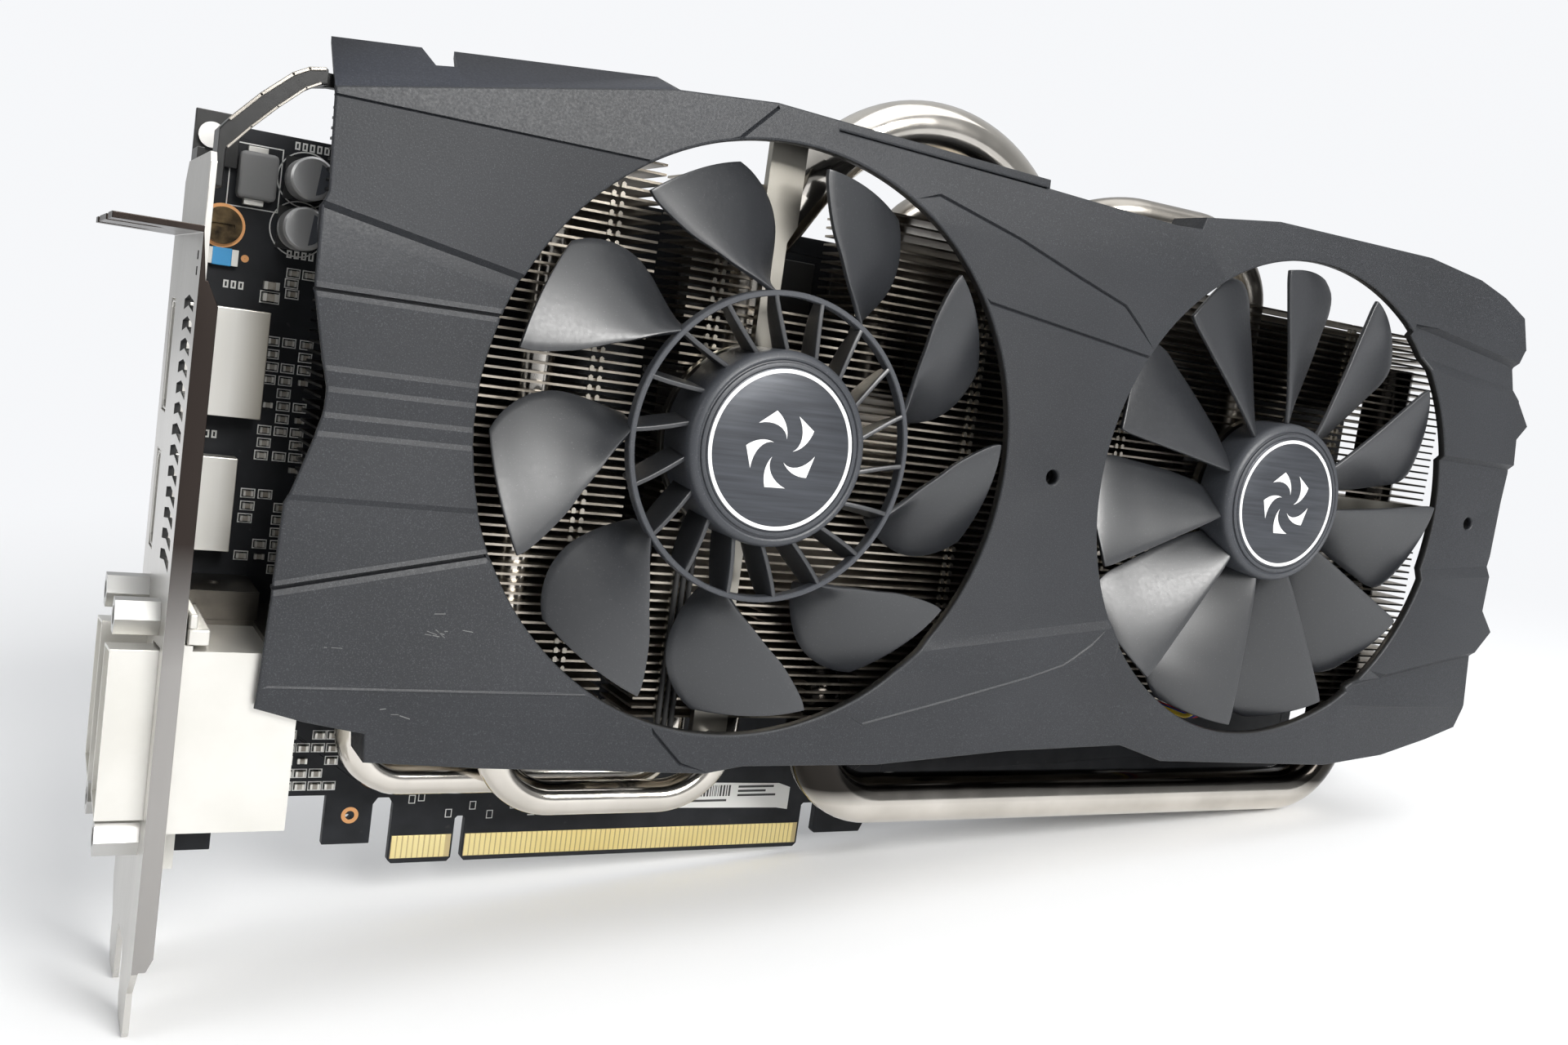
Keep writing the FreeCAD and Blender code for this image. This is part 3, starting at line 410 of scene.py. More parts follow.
def dress_nodes():
    """Materials and soft edges of the CAD nodes, whose meshes keep their places."""
    for look, names in LOOK_NODES.items():
        for name in names.split():
            mesh = NODES[name].data
            mesh.materials.clear()
            mesh.materials.append(M[look])
            for polygon in mesh.polygons:
                polygon.material_index = 0
    for width, names in SOFT_NODES.items():
        for name in names.split():
            soften(NODES[name], width)
    # the bracket's front flange, the underside of its tab and the walls of its vents are in shade
    recolour("io_bracket", "flange", lambda x, y, z: 0.0 < x < 2.9 and y < -33.6 and z < 99)
    recolour("io_bracket", "flange", lambda x, y, z: x < -1 and z < 106.2)
    recolour("io_bracket", "vent",
             lambda x, y, z: 0.1 < x < 0.8 and -31.6 < y < -18.8 and 56 < z < 104)
    # painted shade: the stacked connector's stepped top takes a dark tin, and its foot is white
    # plastic
    recolour("dvi_housing", "shelf", lambda x, y, z: x > 3.3 and z > 46.3)
    recolour("dvi_housing", "insert", lambda x, y, z: x > 3.3 and z < 18.8)
    recolour("board_screws", "screw_dark", lambda x, y, z: z < 115)
    for k, look in enumerate(("wire_yellow", "wire_blue", "wire_red")):
        middle = RIGHT_LEADS_X + LEAD_PITCH * k
        recolour("fan_leads", look, lambda x, y, z: abs(x - middle) < LEAD_PITCH / 2)


# -------------------- mesh helpers
def piece(name, verts, faces, look, body, slot, replaces=(), sharp=35.0, solid=0.0, offset=0.0,
          edge=0.0):
    """Mesh from points in mm, with its modifiers, riding on a body."""
    mesh = bpy.data.meshes.new(name)
    mesh.from_pydata([Vector(v) * MM for v in verts], [], faces)
    mesh.validate()
    mesh.materials.append(M[look])
    mesh.shade_smooth()
    mesh.set_sharp_from_angle(angle=math.radians(sharp))
    obj = bpy.data.objects.new(name, mesh)
    bpy.context.scene.collection.objects.link(obj)
    if solid:
        shell = obj.modifiers.new("wall", "SOLIDIFY")
        shell.thickness = solid * MM
        shell.offset = offset
    if edge:
        bevel = obj.modifiers.new("edge", "BEVEL")
        bevel.width = edge * MM
        bevel.segments = 2
        bevel.limit_method = "ANGLE"
        bevel.angle_limit = math.radians(50)
    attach(obj, body)
    if replaces:
        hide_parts(*replaces)
    return obj


class Soup:
    """Points and faces gathered from several solids."""

    def __init__(self):
        self.verts, self.faces = [], []

    def add(self, verts, faces):
        base = len(self.verts)
        self.verts += [tuple(v) for v in verts]
        self.faces += [tuple(base + i for i in f) for f in faces]

    def slab(self, outline, y0, y1):
        """Prism of an x,z outline between two depths."""
        n = len(outline)
        verts = [(x, y0, z) for x, z in outline] + [(x, y1, z) for x, z in outline]
        faces = [tuple(range(n)), tuple(range(2 * n - 1, n - 1, -1))]
        faces += [(k, n + k, n + (k + 1) % n, (k + 1) % n) for k in range(n)]
        self.add(verts, faces)

    def block(self, x0, x1, y0, y1, z0, z1):
        self.slab([(x0, z0), (x1, z0), (x1, z1), (x0, z1)], y0, y1)

    def stroke(self, points, width, y0, y1):
        """Straight strokes along x,z points."""
        for (xa, za), (xb, zb) in zip(points, points[1:]):
            d = Vector((xb - xa, zb - za)).normalized() * (width / 2)
            self.slab([(xa - d.x + d.y, za - d.y - d.x), (xb + d.x + d.y, zb + d.y - d.x),
                       (xb + d.x - d.y, zb + d.y + d.x), (xa - d.x - d.y, za - d.y + d.x)], y0, y1)

    def build(self, name, look, body, slot, replaces=(), **shape):
        return piece(name, self.verts, self.faces, look, body, slot, replaces, **shape)

    def revolve(self, centre, profile, closed, steps=96):
        """Turn (radius, y) points about a fan axis."""
        cx, cz = centre
        n = len(profile)
        verts = []
        for k in range(steps):
            a = 2 * math.pi * k / steps
            verts += [(cx + r * math.cos(a), y, cz + r * math.sin(a)) for r, y in profile]
        faces = []
        for k in range(steps):
            a, b = k * n, ((k + 1) % steps) * n
            for i in range(n if closed else n - 1):
                j = (i + 1) % n
                faces.append((a + i, a + j, b + j, b + i))
        self.add(verts, faces)


def spline(stations, t, column):
    """Catmull-Rom value of a column of the stations at t from 0 to 1."""
    n = len(stations) - 1
    i = min(int(t * n), n - 1)
    f = t * n - i
    p = [stations[max(0, min(n, i + k))][column] for k in (-1, 0, 1, 2)]
    return 0.5 * (2 * p[1] + (p[2] - p[0]) * f + (2 * p[0] - 5 * p[1] + 4 * p[2] - p[3]) * f * f
                  + (3 * p[1] - p[0] - 3 * p[2] + p[3]) * f ** 3)


# -------------------- shroud
OUTLINE = [(15.2, 128.5), (15.8, 114), (15.1, 112), (15.4, 99.8), (17.4, 90.4), (18.4, 86.4),
           (18.4, 83), (17.4, 79), (14.8, 70.4), (14.2, 69), (13.8, 56), (13.1, 38.3), (20.3, 36.2),
           (29.5, 34.3), (30, 29.6), (49, 28.4), (89, 27), (96, 28.3), (124, 28.3), (154, 30.9),
           (182.6, 32), (195, 28.4), (245, 27), (264, 29.2), (278, 33.1), (287, 36.2), (288.4, 42),
           (288.0, 54.6), (292.6, 60), (288.0, 65), (288.0, 73), (288.8, 78), (288.8, 91),
           (289.2, 98), (288.0, 106), (291.0, 109.4), (286.2, 114.6), (283.5, 121.8),
           (285.2, 126.6), (283.3, 133.8), (275.7, 137.4), (266.7, 140), (249, 142.2), (202, 141.9),
           (181.6, 139.2), (180.6, 136.8), (174.9, 136.4), (151.8, 137.2), (142.4, 137.6),
           (142.4, 139.2), (96.5, 140.6), (85, 141.0), (66.7, 139.2), (33.3, 132.26),
           (33.15, 132.23), (29.9, 131.55), (28.4, 131.24)]

# Wing profiles: each line is its two ends and how far the front is pressed back there.
LEFT_WING = [((12, 127.5), (75, 127.5), 0.0), ((12, 127.3), (75, 127.3), 0.4),
             ((12, 127.1), (75, 127.1), 0.0), ((15.6, 112.5), (45.8, 106.7), 0.0),
             ((15.6, 111.6), (45.8, 105.8), 1.2), ((15.6, 109.5), (45.8, 103.7), 0.9)]
LEFT_WING += [((15, z), (46, z), d) for z, d in (
    (101.2, 0.9), (100.4, 0.6), (100.3, 1.6), (99.95, 1.6), (99.85, 0.8), (99.05, 0.5), (89.5, 0.6),
    (88.7, 0.25), (86.5, 0.5), (85.7, 0.15), (82.75, 0.45), (81.95, 0.1), (79.95, 0.3),
    (79.15, -0.05), (70.4, -0.05), (69.5, 0.5))]
LEFT_WING += [((13.8, z), (45, z + 6.8), d) for z, d in (
    (57.4, 0.55), (56.7, 0.25), (56.6, 1.4), (56.15, 1.4), (56.05, 0.4), (55.2, 0.05))]
RIGHT_WING = [((247, 128.2), (283.4, 123.4), 0.0), ((247, 127.0), (283.4, 122.2), 1.4),
              ((251.7, 120.8), (286, 117.0), 1.4), ((251.7, 118.6), (286, 114.8), 0.0),
              ((264, 100.0), (290, 100.0), 0.0), ((264, 98.8), (290, 98.8), 1.4),
              ((264.9, 73.4), (288.3, 75.5), 1.4), ((264.9, 71.2), (288.3, 73.3), 0.0),
              ((257.7, 48.9), (288.3, 55.1), 0.0), ((257.7, 47.7), (288.3, 53.9), 1.2),
              ((257.7, 41.0), (288.3, 41.0), 0.3)]
LEFT_END, RIGHT_START, RIGHT_TOP = 75, 246, 132      # where the wings' relief stops
TOP_LEAN, LOW_LEAN = 0.10, 0.12                # slopes beyond the shoulders
# pressed creases: depth, negative for a ridge, and the line they follow
GROOVES = [(0.45, [(118.4, 132), (136.7, 127.4), (151.2, 122.9), (163.8, 119.2), (168, 115.9)]),
           (0.45, [(132.4, 115.2), (171.6, 110.4)]),
           (-0.16, [(118.9, 36.4), (155.1, 46), (162.7, 48.7), (169, 53)]),
           (0.45, [(78.6, 133.9), (85.1, 140.2)]), (0.45, [(77.7, 34.6), (83.7, 28.9)]),
           (-0.12, [(14.6, 41.6), (64, 41.2)])]
GROOVE_HALF = 0.32
# a low step below the line between the fans, which fades out downwards
STEP = ((132.4, 52.8), (172.2, 58.1))
STEP_WIDTH, STEP_RISE = 1.7, 0.55
STEP_FROM, STEP_TO, STEP_LOW, STEP_FADE = 100, 176, 46, 4
TOP_SLIT = [(96.6, 138.3), (142.0, 137.0), (142.0, 138.0), (96.6, 139.3)]
EDGE_R, HOLE_EDGE_R, HOLE_WALL = 0.4, 0.5, 1.8  # rounded rims, and how deep a hole's wall goes
SHEET = 1.1                                    # thickness of the shroud's metal


def wing_depth(lines, x, z):
    """Pressed depth between a wing's lines, which are listed from the top down."""
    previous = None
    for (xa, za), (xb, zb), d in lines:
        height = za + (zb - za) * (x - xa) / (xb - xa)
        if z >= height:
            if previous is None:
                return d
            top, above = previous
            return d + (above - d) * (z - height) / (top - height)
        previous = (height, d)
    return previous[1]


def near_line(points, x, z):
    """Distance from a point to a polyline."""
    best = 1e9
    for (xa, za), (xb, zb) in zip(points, points[1:]):
        ux, uz = xb - xa, zb - za
        t = max(0.0, min(1.0, ((x - xa) * ux + (z - za) * uz) / (ux * ux + uz * uz)))
        best = min(best, math.hypot(x - xa - t * ux, z - za - t * uz))
    return best


def front_depth(x, z):
    """How far behind the flat front plane the pressed sheet lies."""
    d = max(0.0, z - SHOULDER_TOP) * TOP_LEAN + max(0.0, SHOULDER_LOW - z) * LOW_LEAN
    if x < LEFT_END:
        d += wing_depth(LEFT_WING, x, z)
    elif x > RIGHT_START and z < RIGHT_TOP:
        d += wing_depth(RIGHT_WING, x, z)
    for depth, line in GROOVES:
        d += depth * max(0.0, 1 - near_line(line, x, z) / GROOVE_HALF)
    (xa, za), (xb, zb) = STEP
    below = za + (zb - za) * (x - xa) / (xb - xa) - z
    if STEP_FROM < x < STEP_TO and below > 0 and z > STEP_LOW:
        fade = min(1.0, max(0.0, (z - STEP_LOW) / STEP_FADE))
        d -= STEP_RISE * min(1.0, below / STEP_WIDTH) * fade
    return d


def ring_points(centre, radius, count):
    return [(centre[0] + radius * math.cos(2 * math.pi * k / count),
             centre[1] + radius * math.sin(2 * math.pi * k / count)) for k in range(count)]


def inset(outline, distance):
    """Outline moved inwards, whichever way round it runs."""
    n = len(outline)
    area = sum(outline[i][0] * outline[(i + 1) % n][1] - outline[(i + 1) % n][0] * outline[i][1]
               for i in range(n))
    side = 1.0 if area > 0 else -1.0
    out = []
    for i in range(n):
        p, q, r = (Vector(outline[(i + k) % n]) for k in (-1, 0, 1))
        a, b = (q - p).normalized(), (r - q).normalized()
        na, nb = Vector((-a.y, a.x)) * side, Vector((-b.y, b.x)) * side
        m = na + nb
        out.append(tuple(q + m * (distance / max(0.6, m.dot(na)))))
    return out


def inside(polygon, x, z):
    """Whether a point lies in a polygon, by counting the sides it crosses."""
    hit = False
    n = len(polygon)
    for i in range(n):
        (xa, za), (xb, zb) = polygon[i], polygon[(i + 1) % n]
        if (za > z) != (zb > z) and x < xa + (z - za) * (xb - xa) / (zb - za):
            hit = not hit
    return hit


def parallel(points, shift):
    """Polyline moved sideways."""
    out = []
    for i, p in enumerate(points):
        a = Vector(points[max(0, i - 1)])
        b = Vector(points[min(len(points) - 1, i + 1)])
        d = (b - a).normalized()
        out.append((p[0] - d.y * shift, p[1] + d.x * shift))
    return out


def front_plan():
    """Flat points and triangles of the front, cut along every crease and around every hole."""
    outer = inset(OUTLINE, EDGE_R)
    holes = [ring_points(LEFT_OPENING, OPEN_R + HOLE_EDGE_R, 180),
             ring_points(RIGHT, OPEN_R + HOLE_EDGE_R, 180)]
    holes += [ring_points(place, SCREW_HOLE_R, 24) for place in SCREW_HOLES]
    holes.append(TOP_SLIT)
    verts, edges = [], []

    def path(points, closed=False):
        base = len(verts)
        verts.extend(Vector(p) for p in points)
        edges.extend((base + i, base + i + 1) for i in range(len(points) - 1))
        if closed:
            edges.append((base + len(points) - 1, base))

    for loop in (outer, *holes):
        path(loop, True)
    for a, b, _ in LEFT_WING + RIGHT_WING:
        path([a, b])
    for _, line in GROOVES:
        for shift in (-GROOVE_HALF, 0, GROOVE_HALF):
            path(parallel(line, shift))
    path([(60, SHOULDER_TOP), (284, SHOULDER_TOP)])
    path([(12, SHOULDER_LOW), (290, SHOULDER_LOW)])
    for shift in (0, -STEP_WIDTH):
        path([(x, z + shift) for x, z in STEP])
    for z in (STEP_LOW, STEP_LOW + STEP_FADE):
        path([(STEP_FROM, z), (STEP_TO, z)])
    path([(LEFT_END, 20), (LEFT_END, 145)])
    path([(RIGHT_START, 20), (RIGHT_START, RIGHT_TOP), (292, RIGHT_TOP)])
    flat, _, tris, *_ = geometry.delaunay_2d_cdt(verts, edges, [], 0, 1e-5)
    kept = []
    for tri in tris:
        x = sum(flat[i].x for i in tri) / 3
        z = sum(flat[i].y for i in tri) / 3
        if inside(outer, x, z) and not any(inside(hole, x, z) for hole in holes):
            kept.append(tuple(tri))
    return flat, kept


def pressed_front():
    """The front as a mesh, its points pressed back to their depths and its faces turned to -y."""
    flat, triangles = front_plan()
    bm = bmesh.new()
    points = [bm.verts.new((p.x, FRONT + front_depth(p.x, p.y), p.y)) for p in flat]
    for triangle in triangles:
        bm.faces.new([points[i] for i in triangle])
    loose = [v for v in bm.verts if not v.link_faces]
    bmesh.ops.delete(bm, geom=loose, context="VERTS")
    bmesh.ops.recalc_face_normals(bm, faces=bm.faces)
    if sum(f.normal.y for f in bm.faces) > 0:
        bmesh.ops.reverse_faces(bm, faces=bm.faces)
    return bm


def on_hole(co):
    """Whether a boundary point belongs to a fan opening or a screw hole."""
    near = [(LEFT_OPENING, OPEN_R + 4), (RIGHT, OPEN_R + 4)] + [(place, 4) for place in SCREW_HOLES]
    return any(math.hypot(co.x - cx, co.z - cz) < r for (cx, cz), r in near)


def rim_directions(edges):
    """Outward step in the x,z plane, whether it is on a hole, and place of each boundary vertex."""
    outward = {}
    for e in edges:
        mid = (e.verts[0].co + e.verts[1].co) / 2
        d = e.verts[1].co - e.verts[0].co
        n = Vector((d.z, 0, -d.x)).normalized()
        if n.dot(mid - e.link_faces[0].calc_center_median()) < 0:
            n = -n
        for v in e.verts:
            outward.setdefault(v, []).append(n)
    info = {}
    for v, normals in outward.items():
        m = sum(normals, Vector()).normalized()
        info[v] = (m / max(0.6, m.dot(normals[0])), on_hole(v.co), v.co.copy())
    return info


def rounding(turn):
    """Place of a rim point after part of a quarter turn from the front to the side."""
    def place(out, hole, start):
        r = HOLE_EDGE_R if hole else EDGE_R
        return start + out * (r * math.sin(turn)) + Vector((0, r * (1 - math.cos(turn)), 0))
    return place


def wall_end(out, hole, start):
    """Back edge of a side wall, of a hole's wall, or of the long bevel at the top left."""
    edge = start + out * (HOLE_EDGE_R if hole else EDGE_R)
    x, z = edge.x, edge.z
    if hole:
        return Vector((x, edge.y + HOLE_WALL, z))
    if 15.0 < x < 66.9 and z > 127.5 and z > 128.3 + (x - 15.2) * 0.19:
        along = (x - 15.2) / 51.5
        back = Vector((15.6 + 51.1 * along, -25.1, 136.6 + 5.4 * along))
        notch = 29.6 < x < 33.22
        return edge.lerp(back, 0.55 if notch else 1.0)
    if x < 26 and z > 31:
        return Vector((x, edge.y + 0.6, z))
    return Vector((x, WALL_BACK, z))


def make_shroud():
    """Pressed front with rounded rims and walls, thickened inwards."""
    bm = pressed_front()
    edges = [e for e in bm.edges if e.is_boundary]
    info = rim_directions(edges)
    source = {v: v for v in info}
    for place in [rounding(math.radians(turn)) for turn in (22.5, 45, 67.5, 90)] + [wall_end]:
        index = {tuple(round(c, 5) for c in v.co): first for v, first in source.items()}
        grown = bmesh.ops.extrude_edge_only(bm, edges=edges)["geom"]
        source = {v: index[tuple(round(c, 5) for c in v.co)] for v in grown
                  if isinstance(v, bmesh.types.BMVert)}
        edges = [e for e in grown if isinstance(e, bmesh.types.BMEdge) and e.is_boundary
                 and e.verts[0] in source and e.verts[1] in source]
        for v, first in source.items():
            v.co = place(*info[first])
    bmesh.ops.recalc_face_normals(bm, faces=bm.faces)
    if sum(f.normal.y * f.calc_area() for f in bm.faces) > 0:
        bmesh.ops.reverse_faces(bm, faces=bm.faces)
    bm.verts.index_update()
    verts = [v.co.copy() for v in bm.verts]
    faces = [tuple(v.index for v in f.verts) for f in bm.faces]
    bm.free()
    obj = piece("shroud_shell", verts, faces, "shroud", "card", "shroud_charcoal", ["shroud"],
                sharp=14, solid=SHEET, offset=-1.0)
    for look in ("black_plastic", "bevel"):
        obj.data.materials.append(M[look])
    for polygon in obj.data.polygons:
        x, y, z = polygon.center / MM
        # painted shade: the walls of the fan openings take the near-black material
        if y > FRONT + 0.4 and any(abs(math.hypot(x - cx, z - cz) - OPEN_R) < 0.12
                                   for cx, cz in (LEFT_OPENING, RIGHT)):
            polygon.material_index = 1
        # painted reflection and shade: the long bevel at the top left takes the darker bluish copy
        # of the coat
        if x < 66 and z > 130 and y > FRONT + 1.5 and polygon.normal.y < -0.2:
            polygon.material_index = 2


# -------------------- fans
HUB_R, HUB_WALL, HUB_BACK = 16.8, 1.4, -27.0
LEFT_HUB, RIGHT_HUB = -37.8, -35.4             # front of each hub
# radius, leading angle, trailing angle, leading depth, how far back the trailing edge is
PETAL = [(25.8, -28.0, -31.5, -35.4, 6.0), (28, -22, -32.5, -35.0, 7.0),
         (31, -15, -33.5, -34.8, 7.6), (34.5, -9.5, -34, -34.8, 7.8), (38, -5, -33.5, -34.8, 7.8),
         (42, -2, -31, -34.8, 7.6), (45.5, -0.3, -27, -34.8, 7.0), (47.5, 0, -23.5, -34.8, 6.2)]
BLADE = [(16.4, -4.7, -23, -33.4, 5.8), (20, -3.6, -26, -33.8, 6.4), (24, -2.6, -27, -34.0, 6.8),
         (28, -1.9, -27.4, -34.1, 7.0), (33, -1.2, -27.4, -34.2, 7.1),
         (38, -0.6, -27.2, -34.2, 7.1), (43, -0.2, -27.0, -34.2, 7.0), (46.6, 0, -25.0, -34.2, 6.8),
         (48.6, -0.2, -20.0, -34.2, 6.0)]
VANE = [(16.2, 10.5, 7.5, -35.6, 6.6), (19.5, 14.5, 11.5, -35.8, 6.6), (23, 17.3, 14.6, -35.8, 6.0),
        (26.2, 18.8, 16.4, -35.7, 4.4)]
PETALS, LEFT_PHASE = 9, 6.5
BLADES, RIGHT_PHASE = 11, 3.6


def add_blade(soup, centre, theta, stations, rows, columns, power):
    """Curved sheet between the leading and trailing lines of the stations."""
    verts, faces = [], []
    for i in range(rows + 1):
        r, lead, trail, y0, dy = (spline(stations, i / rows, c) for c in range(5))
        for j in range(columns + 1):
            v = j / columns
            a = math.radians(theta + lead + (trail - lead) * v)
            verts.append((centre[0] + r * math.cos(a), y0 + dy * v ** power,
                          centre[1] + r * math.sin(a)))
    w = columns + 1
    for i in range(rows):
        for j in range(columns):
            faces.append((i * w + j, (i + 1) * w + j, (i + 1) * w + j + 1, i * w + j + 1))
    soup.add(verts, faces)


def hub_profile(front):
    """Cup of a hub as (radius, y) points, with a ribbed rim around the label's recess."""
    inner = HUB_R - HUB_WALL
    return [(13.95, front + 0.35), (14.0, front), (14.5, front), (14.7, front + 0.1),
            (14.8, front + 0.45), (15.0, front + 0.5), (15.2, front + 0.25), (15.5, front + 0.15),
            (16.0, front + 0.3),
            (16.45, front + 0.7), (16.7, front + 1.3), (HUB_R, front + 2.2), (HUB_R, HUB_BACK),
            (inner, HUB_BACK), (inner, front + 2.0), (13.95, front + 2.0)]


def make_left_fan():
    """Outer petals on a thin ring, which short vanes join to the hub."""
    soup = Soup()
    for k in range(PETALS):
        add_blade(soup, LEFT, LEFT_PHASE + 360 / PETALS * k, PETAL, 26, 14, 1.5)
    soup.build("left_fan_petals", "fan", "left_fan", "fan_black", ["left_fan_impeller"], sharp=50,
               solid=0.9, offset=0, edge=0.2)
    soup = Soup()
    for k in range(2 * PETALS):
        add_blade(soup, LEFT, 180 / PETALS * k, VANE, 10, 6, 1.0)
    soup.build("left_fan_vanes", "fan", "left_fan", "fan_black", ["left_fan_impeller"], sharp=50,
               solid=0.8, offset=0, edge=0.15)
    soup = Soup()
    soup.revolve(LEFT, [(25.55, -35.6), (25.7, -35.8), (26.4, -35.8), (26.55, -35.6),
                        (26.55, -33.7), (26.4, -33.5), (25.7, -33.5), (25.55, -33.7)], True, 144)
    soup.revolve(LEFT, hub_profile(LEFT_HUB), True, 128)
    soup.build("left_fan_hub", "hub", "left_fan", "fan_black", ["left_fan_impeller"], sharp=32)


def make_right_fan():
    """Plain blades from the hub outwards."""
    soup = Soup()
    for k in range(BLADES):
        add_blade(soup, RIGHT, RIGHT_PHASE + 360 / BLADES * k, BLADE, 26, 12, 1.3)
    soup.build("right_fan_blades", "fan", "right_fan", "fan_black", ["right_fan_impeller"],
               sharp=50, solid=0.9, offset=0, edge=0.2)
    soup = Soup()
    soup.revolve(RIGHT, hub_profile(RIGHT_HUB), True, 128)
    soup.build("right_fan_hub", "hub", "right_fan", "fan_black", ["right_fan_impeller"], sharp=32)


def make_label(side, centre, front, ring_r):
    """Brushed disc with a thin white ring and a plain pinwheel mark."""
    body = side + "_fan"
    soup = Soup()
    soup.revolve(centre, [(0.02, front - 0.12), (6, front - 0.12), (13.7, front - 0.12),
                          (13.9, front), (13.9, front + 0.6), (0.02, front + 0.6)], False, 96)
    soup.build(body + "_disc", "label", body, "fan_label", [body + "_label"], sharp=32)
    soup = Soup()
    top = front - 0.2
    soup.revolve(centre, [(ring_r - 0.35, front - 0.1), (ring_r - 0.3, top), (ring_r + 0.3, top),
                          (ring_r + 0.35, front - 0.1)], True, 128)
    steps = [i / 8 for i in range(9)]
    for k in range(5):
        blade = [(2.1 + 4.7 * t, 72 * k + 34 * t) for t in steps]
        blade += [(2.1 + 4.4 * t, 72 * k + 44 * math.sin(math.pi * t * 0.5) + 34 * t * t - 10 * t)
                  for t in reversed(steps)]
        turned = [(r, math.radians(a)) for r, a in blade]
        soup.slab([(centre[0] + r * math.cos(a), centre[1] + r * math.sin(a)) for r, a in turned],
                  top, front - 0.1)
    soup.build(body + "_mark", "white_ink", body, "fan_label", [body + "_label"], sharp=32)


# -------------------- board and cooler details
BOARD_BACK = 1.6
BOARD_CANS = [(18.4, 117.4), (18.0, 109.4)] + [(222, 36 + 9 * k) for k in range(7)]
CAN_R, CAN_TOP = 3.45, -7.0


def make_capacitors():
    """Aluminium cans with a pressed groove, on clipped square feet, with a dark part of the top."""
    cans, feet, ink = Soup(), Soup(), Soup()
    for x, z in BOARD_CANS:
        cans.revolve((x, z), [(0.02, CAN_TOP + 0.05), (2.7, CAN_TOP + 0.05), (3.1, CAN_TOP + 0.12),
                              (CAN_R, CAN_TOP + 0.5), (CAN_R, -2.0), (3.2, -1.7), (3.2, -1.4),
                              (CAN_R, -1.1), (CAN_R, -0.5)], False, 48)
        feet.slab([(x - 3.4, z - 3.4), (x + 2.4, z - 3.4), (x + 3.4, z - 2.4), (x + 3.4, z + 2.4),
                   (x + 2.4, z + 3.4), (x - 3.4, z + 3.4)], -0.6, 0)
        arc = [math.radians(-78 + 12 * k) for k in range(13)]
        ink.slab([(x + 2.65 * math.cos(a), z + 2.65 * math.sin(a)) for a in arc],
                 CAN_TOP, CAN_TOP + 0.08)
    cans.build("capacitor_cans", "can", "card", "capacitor", ["can_capacitors"])
    feet.build("capacitor_feet", "black_plastic", "card", "connector_black", ["can_capacitors"])
    ink.build("capacitor_marks", "can_ink", "card", "connector_black", ["can_capacitors"])


def make_fingers():
    """Gold pads on a thin gold strip along the edge connector, on both sides of the board."""
    strips, pads = Soup(), Soup()
    for face, sign in ((0.0, -1), (BOARD_BACK, 1)):
        low, high = face + 0.04 * sign, face + 0.1 * sign
        for x0, x1 in ((44.9, 55.8), (58.4, 129.3)):
            strips.block(x0, x1, min(face, low), max(face, low), 0.9, 5.2)
            for k in range(int(x1 - x0)):
                x = x0 + 0.1 + k
                pads.block(x, x + 0.78, min(face, high), max(face, high), 0.95, 5.15)
    strips.build("finger_strips", "gold_edge", "card", "gold", ["edge_contacts"])
    pads.build("finger_pads", "gold", "card", "gold", ["edge_contacts"], edge=0.03)


# chip parts on the board: first x and z, columns, rows, steps in x and z, length, width, height
CHIP_FIELDS = [(13.4, 97.2, 1, 3, 0.0, 1.9, 2.4, 1.2, 1.2),
               (17.2, 98.4, 2, 3, 2.4, 1.7, 1.5, 0.8, 0.7),
               (13.6, 52.4, 3, 7, 2.7, 2.1, 1.6, 0.8, 0.6),
               (15.2, 69.4, 3, 11, 2.6, 2.1, 1.5, 0.8, 0.6),
               (24.4, 14.4, 4, 5, 2.5, 2.3, 1.6, 0.85, 0.6)]
MISSING, OUTLINED = 0.22, 0.85                 # shares of a field's places
SOLDER = 0.04                                  # how far the soldered ends stand proud
PRINT_TOP, PRINT_BACK = -0.04, 0.02


def make_chip_parts():
    """Small two-terminal parts: a body between soldered ends, each in a printed outline."""
    chance = random.Random(5)
    bodies, ends, print_lines = Soup(), Soup(), Soup()
    for x0, z0, columns, rows, dx, dz, length, width, height in CHIP_FIELDS:
        for i in range(columns):
            for j in range(rows):
                if chance.random() < MISSING:
                    continue
                x, z = x0 + dx * i + chance.uniform(-0.15, 0.15), z0 + dz * j
                cap = 0.24 * length
                bodies.block(x + cap, x + length - cap, -height, 0, z, z + width)
                for a in (x, x + length - cap):
                    ends.block(a, a + cap, -height - SOLDER, 0, z - SOLDER, z + width + SOLDER)
                if chance.random() < OUTLINED:
                    frame_box(print_lines, x - 0.35, x + length + 0.35, z - 0.4,
                              z + width + 0.4, 0.17)
    bodies.build("chip_bodies", "ceramic", "card", "small_part", ["small_parts"])
    ends.build("chip_ends", "shell", "card", "connector_metal", ["small_parts"])
    return print_lines


def frame_box(soup, x0, x1, z0, z1, width):
    """Printed outline of a rectangle on the board."""
    for a, b, low, high in ((x0, x1, z0, z0 + width), (x0, x1, z1 - width, z1),
                            (x0, x0 + width, z0 + width, z1 - width),
                            (x1 - width, x1, z0 + width, z1 - width)):
        soup.block(a, b, PRINT_TOP, PRINT_BACK, low, high)


